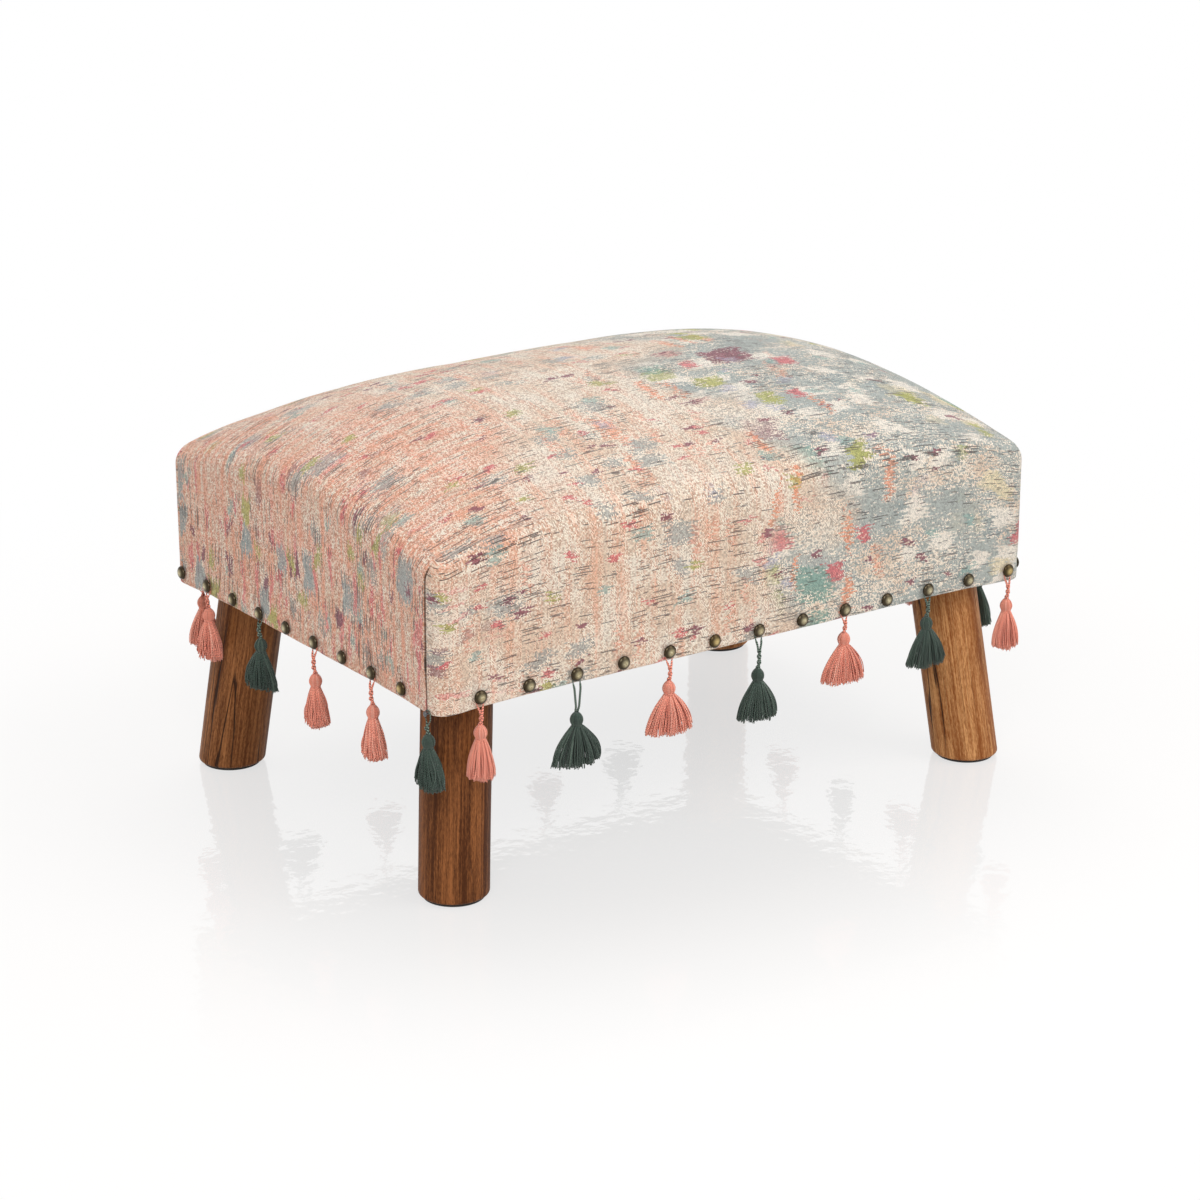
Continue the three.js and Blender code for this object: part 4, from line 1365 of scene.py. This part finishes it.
skirt_skews = {
    "tassel_front_1": 0.29, "tassel_front_2": 0.20, "tassel_front_3": 0.25, "tassel_front_4": 0.13,
    "tassel_front_5": 0.24, "tassel_front_6": 0.13, "tassel_front_7": 0.18, "tassel_left_1": -0.10,
    "tassel_left_2": -0.44, "tassel_left_3": 0.24, "tassel_left_4": 0.23, "tassel_corner": 0.43,
}


def yarn_material(name, light, middle, dark):
    """Soft twisted cotton, whose strands differ in tone, with painted shade between their plies and
    painted highlight on them.
    """
    material, tree, shader = new_material(name, 0.85, Specular_IOR_Level=0.25, Sheen_Weight=0.25)
    tone = number_on(tree, "strand_tone")
    colour = mixed(graded(tone, 0.0, 0.5), dark, middle)
    colour = mixed(graded(tone, 0.5, 1.0), colour, light)
    turned, along, _ = split_up(uv_place(tree, "strand"))
    plies = ((turned + along / ply_turn_length) * (2 * math.pi)).step("SINE")
    fuzz = noise_at(object_place(tree), 1500.0, 3.0, 0.7)
    # Painted shade in the grooves between the plies and painted highlight on them, as strong as each
    # piece's own number; the fuzz is the yarn's own tone
    shade = plies * number_on(tree, "ply_painted_shading") + fuzz * 0.34 + 0.84
    dress(shader, shaded(colour, shade), fuzz * 0.8 + plies, 0.6, 0.0003)
    return material


pink_yarn = yarn_material("pink yarn", "fabba6", "ec9680", "b96353")
green_yarn = yarn_material("green yarn", "5f7064", "3a4b42", "1e2a23")


def loop_path(drop, is_plain):
    """The loop's route, as (along, out, up) from the hinge: up one side, over the nail and down. The
    two sides are twisted round each other above the head."""
    split = -drop * loop_split_share
    half_gap = ply_reach * loop_gap_share

    def point_at(height, sign):
        if height >= split or is_plain:
            low = -drop if is_plain else split
            share = min(max((height - low) / (-loop_open_drop - low), 0), 1)
            return [sign * (half_gap + (loop_radius - half_gap) * share), 0, height]
        turn = 2 * math.pi * (split - height) / loop_turn_pitch
        ease = smooth_step(0, loop_ease_drop, split - height)
        return [sign * half_gap * math.cos(turn), sign * half_gap * math.sin(turn) * ease, height]

    heights = np.linspace(-drop - loop_tuck, -loop_centre_drop, round(drop / loop_step))
    path = [point_at(height, 1) for height in heights]
    for step in range(1, loop_arc_count):
        turn = math.pi * step / loop_arc_count
        path.append([loop_radius * math.cos(turn), 0, loop_radius * math.sin(turn) - loop_centre_drop])
    return path + [point_at(height, -1) for height in heights[::-1]]


def head_radius(share):
    """The ball of the head's radius, from the tie at its top, share 0, to the neck, share 1."""
    angle = math.pi * (head_top_share + head_ball_share * share)
    return tassel_head_radius * math.sin(angle) ** head_roundness


def head_strand(turn, drop, draw):
    """One strand over the ball of the head, from the tie at its top down to the neck."""
    path = []
    for step in range(head_strand_steps + 1):
        share = step / head_strand_steps
        radius = max(head_radius(share) - strand_radius * head_strand_sink_share, head_strand_least)
        if step == head_strand_steps:
            radius = tassel_neck_radius - neck_tuck
        swing = turn + head_strand_sway * math.sin(3 * share + draw.random())
        path.append((
            radius * math.cos(swing), radius * math.sin(swing), -drop - tassel_head_height * share,
        ))
    return path


def skirt_strand(share_across, share_out, half_width, skew, drop, clump, draw):
    """One strand of the skirt, from inside the neck to its cut end."""
    neck_height = -drop - tassel_head_height + skirt_tuck
    end_along = half_width * (share_across + skirt_skew_share * skew * (1 - share_across ** 2))
    end_out = skirt_half_depth * share_out
    bow = 1 - skirt_rise_across * share_across ** 2 - skirt_rise_out * share_out ** 2
    full_length = skirt_length + skirt_tuck
    clump_share = 1 - clump_length_share + clump_length_share * clump[2]
    length = full_length * bow * (1 + draw.gauss(0, strand_length_spread)) * clump_share
    length = min(length, full_length)
    start_along = (tassel_neck_radius - root_tuck) * share_across
    start_out = (tassel_neck_radius - root_tuck) * share_out
    bell = skirt_bell + skirt_bell_spread * draw.random()
    wave, phase = draw.gauss(0, strand_wave), draw.random() * 2 * math.pi
    path = []
    for step in range(skirt_strand_steps + 1):
        share = step / skirt_strand_steps
        out_share = bell * (1 - (1 - share) ** 2) + (1 - bell) * share
        sway = wave * math.sin(phase + 5 * share) * share
        gather = clump_gather * math.sin(math.pi * share) * share
        path.append((
            start_along + (end_along - start_along) * out_share + sway + clump[0] * gather,
            start_out + (end_out - start_out) * out_share - sway + clump[1] * gather,
            neck_height - length * share,
        ))
    return path


def strand_forms(name, drop, half_width, draw):
    """All strands of a tassel, each with its tone: the head's, the neck's binding and the skirt's."""
    strands = []
    # A solid core inside the head, in a darker tone that stands as painted shade between the head's
    # strands
    core = [(0, -drop), (core_top_radius, -drop - core_top_depth)]
    for step in range(1, core_steps):
        share = step / core_steps
        radius = max(head_radius(share) - 2 * strand_radius, core_least_radius)
        core.append((radius, -drop - tassel_head_height * share))
    foot = -drop - tassel_head_height - core_foot_depth
    core += [(core_foot_radius, foot), (0, foot)]
    strands.append((turned_form(core, core_sides), core_shade_tone))
    for index in range(head_strand_count):
        turn = 2 * math.pi * (index + head_turn_spread * draw.random()) / head_strand_count
        tone = min(max(head_tone + draw.gauss(0, head_tone_spread), 0), 1)
        path = head_strand(turn, drop, draw)
        strands.append((tube_form(path, strand_radius, strand_sides, (1, 0.3, 0)), tone))
    binding = []
    for share in np.linspace(0, 1, binding_point_count):
        turn = 2 * math.pi * binding_turns * share
        height = -drop - tassel_head_height + binding_rise - binding_height * share
        binding.append((tassel_neck_radius * math.cos(turn), tassel_neck_radius * math.sin(turn), height))
    strands.append((tube_form(binding, binding_radius, binding_sides), binding_tone))
    skew = skirt_skews.get(name, draw.uniform(-0.3, 0.3))
    clumps = [(draw.uniform(-1, 1), draw.uniform(-1, 1), draw.uniform(-1, 1)) for _ in range(clump_count)]
    for index in range(skirt_strand_count):
        across = 1 - 2 * ((index + 0.5) * golden_share % 1)
        out = (1 - 2 * ((index + 0.5) * second_share % 1)) * math.sqrt(1 - across ** 2)
        spread = math.hypot(across, out)
        if draw.random() < stray_share:
            across *= stray_reach
        clump = clumps[int((across + 1.1) / 2.2 * clump_count) % clump_count]
        tone = skirt_tone + clump_tone * clump[2] + draw.gauss(0, skirt_tone_spread)
        tone -= inner_shade * (1 - spread)
        path = skirt_strand(across, out, half_width - strand_radius, skew, drop, clump, draw)
        radii = strand_radius * np.linspace(1.0, tip_radius_share, len(path))
        radii = radii * (0.9 + 0.25 * draw.random())
        strands.append((tube_form(path, radii, strand_sides, (1, 0.2, 0)), min(max(tone, 0), 1)))
    return strands


def lay_out_strand(piece, side_count):
    """Writes how far round and how far along its strand each point is."""
    layer = piece.data.uv_layers.new(name="strand")
    vertices = np.array([corner.vertex_index for corner in piece.data.loops])
    points = np.array([vertex.co for vertex in piece.data.vertices])
    places = np.column_stack([(vertices % side_count) / side_count, -points[vertices][:, 2]])
    layer.data.foreach_set("uv", places.astype(np.float32).ravel())


def make_tassel(name, seed):
    """A tassel's yarn, hung at its hinge, and its loop."""
    pivot = hinge_places[name]
    along, out = sides["left" if name == "tassel_corner" else name.split("_")[1]]
    low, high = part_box(name)
    drop = pivot.z - low.z - tassel_head_height - skirt_length
    across = Vector([abs(part) for part in along])
    half_width = (high - low).dot(across) / 2
    slot = yarn_slots[name]
    material = green_yarn if slot == "green_yarn" else pink_yarn
    ways = np.array([along, out, (0, 0, 1)])
    strands = strand_forms(name, drop, half_width, random.Random(seed))
    points, faces = join_forms([form for form, _ in strands])
    placed = (points @ ways + np.array(pivot), faces)
    tassel = show_mesh(f"{name}_yarn", placed, name, material)
    tones = np.concatenate([np.full(len(form[0]), tone) for form, tone in strands])
    write_numbers(tassel, "strand_tone", tones)
    write_numbers(tassel, "ply_painted_shading", np.full(len(tones), skirt_ply_shading))
    lay_out_strand(tassel, strand_sides)
    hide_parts(name)
    path = np.array(loop_path(drop, name in plain_loops))
    below_nail = -path[:, 2]
    at_nail = 1 - smooth_step(*pinch_drops, below_nail)
    above_head = 1 - smooth_step(drop - bow_end_height, drop, below_nail)
    path[:, 1] += loop_bow * smooth_step(*bow_drops, below_nail) * above_head
    path = path @ ways + np.array(pivot)
    reach = ply_reach + (pinched_reach - ply_reach) * at_nail
    loop_form = tube_form(path, reach, loop_sides, out, loop_lobes, loop_ply_pitch)
    loop = show_mesh(f"{name}_loop", loop_form, name, material)
    loop_tone, loop_ply_shading = loop_tones_and_ply_shading[slot]
    write_numbers(loop, "strand_tone", np.full(len(loop_form[0]), loop_tone))
    write_numbers(loop, "ply_painted_shading", np.full(len(loop_form[0]), loop_ply_shading))
    lay_out_strand(loop, loop_sides)


for seed, name in enumerate(hinge_places, 100):
    make_tassel(name, seed)

# Floor: a white glossy sheet, which mirrors the legs and tassels faintly and fades into plain white
# further out. Soft lamps light the stool from the front right, from the front left and from above.
floor_half_size = 12.0
fade_start = 0.35
fade_end = 1.0
near_fade = 0.80
mirror_start = 0.24
mirror_end = 0.62
ambient = 0.52


def where_seen(tree):
    """1 where the camera sees a surface, straight or through a mirror or glass, and 0 for its light."""
    ray = add_node(tree, "ShaderNodeLightPath").outputs
    seen = Field(ray["Is Camera Ray"]).step("MAXIMUM", Field(ray["Is Glossy Ray"]))
    return seen.step("MAXIMUM", Field(ray["Is Transmission Ray"]))


def blended(share, first, second):
    """Two shaders mixed by a share."""
    parts = {0: share, 1: Field(first.outputs[0]), 2: Field(second.outputs[0])}
    return add_node(share.tree, "ShaderNodeMixShader", parts)


mesh = bpy.data.meshes.new("floor")
edge = floor_half_size
corners = [(-edge, -edge, 0), (edge, -edge, 0), (edge, edge, 0), (-edge, edge, 0)]
mesh.from_pydata(corners, [], [(0, 1, 2, 3)])
floor = bpy.data.objects.new("floor", mesh)
bpy.context.scene.collection.objects.link(floor)
white_floor = bpy.data.materials.new("white floor")
white_floor.use_nodes = True
tree = white_floor.node_tree
tree.nodes.clear()
place = object_place(tree)
from_stool = length_of(stretched(place, (0.8, 1.0, 1.0)))
fade = graded(from_stool, fade_start, fade_end, near_fade, 1.0) * where_seen(tree)
lit_floor = add_node(tree, "ShaderNodeBsdfDiffuse", {"Color": "f1ece8"})
plain_white = add_node(tree, "ShaderNodeEmission", {"Strength": 1.0})
ripples = add_node(tree, "ShaderNodeBump", {
    "Height": noise_at(place, 60.0), "Strength": 0.20, "Distance": 0.002,
})
gloss = add_node(tree, "ShaderNodeBsdfGlossy", {
    "Roughness": 0.06, "Normal": Field(ripples.outputs["Normal"]),
})
fresnel = Field(add_node(tree, "ShaderNodeFresnel", {"IOR": 1.5}).outputs["Fac"])
mirror_share = fresnel * graded(from_stool, mirror_start, mirror_end, 1.0, 0.0)
surface = blended(mirror_share, blended(fade, lit_floor, plain_white), gloss)
add_node(tree, "ShaderNodeOutputMaterial", {"Surface": Field(surface.outputs[0])})
mesh.materials.append(white_floor)

lamps = [
    ("key lamp", (1.6, -2.2, 2.6), 2.2, 46),
    ("side lamp", (-1.9, -2.3, 2.5), 1.6, 48),
    ("top lamp", (0.6, 1.4, 3.2), 2.0, 44),
]
stool_middle = Vector((0, 0, 0.2))
for lamp_name, lamp_place, lamp_size, lamp_watts in lamps:
    lamp_data = bpy.data.lights.new(lamp_name, "AREA")
    lamp_data.size = lamp_size
    lamp_data.energy = lamp_watts
    lamp = bpy.data.objects.new(lamp_name, lamp_data)
    lamp.location = lamp_place
    lamp.rotation_mode = "QUATERNION"
    lamp.rotation_quaternion = (stool_middle - Vector(lamp_place)).to_track_quat("-Z", "Y")
    bpy.context.scene.collection.objects.link(lamp)

world = bpy.data.worlds.new("studio")
bpy.context.scene.world = world
world.use_nodes = True
tree = world.node_tree
tree.nodes.clear()
strength = where_seen(tree) * (1 - ambient) + ambient
background = add_node(tree, "ShaderNodeBackground", {"Color": (1, 1, 1, 1), "Strength": strength})
add_node(tree, "ShaderNodeOutputWorld", {"Surface": Field(background.outputs[0])})
bpy.context.scene.view_settings.view_transform = "Standard"
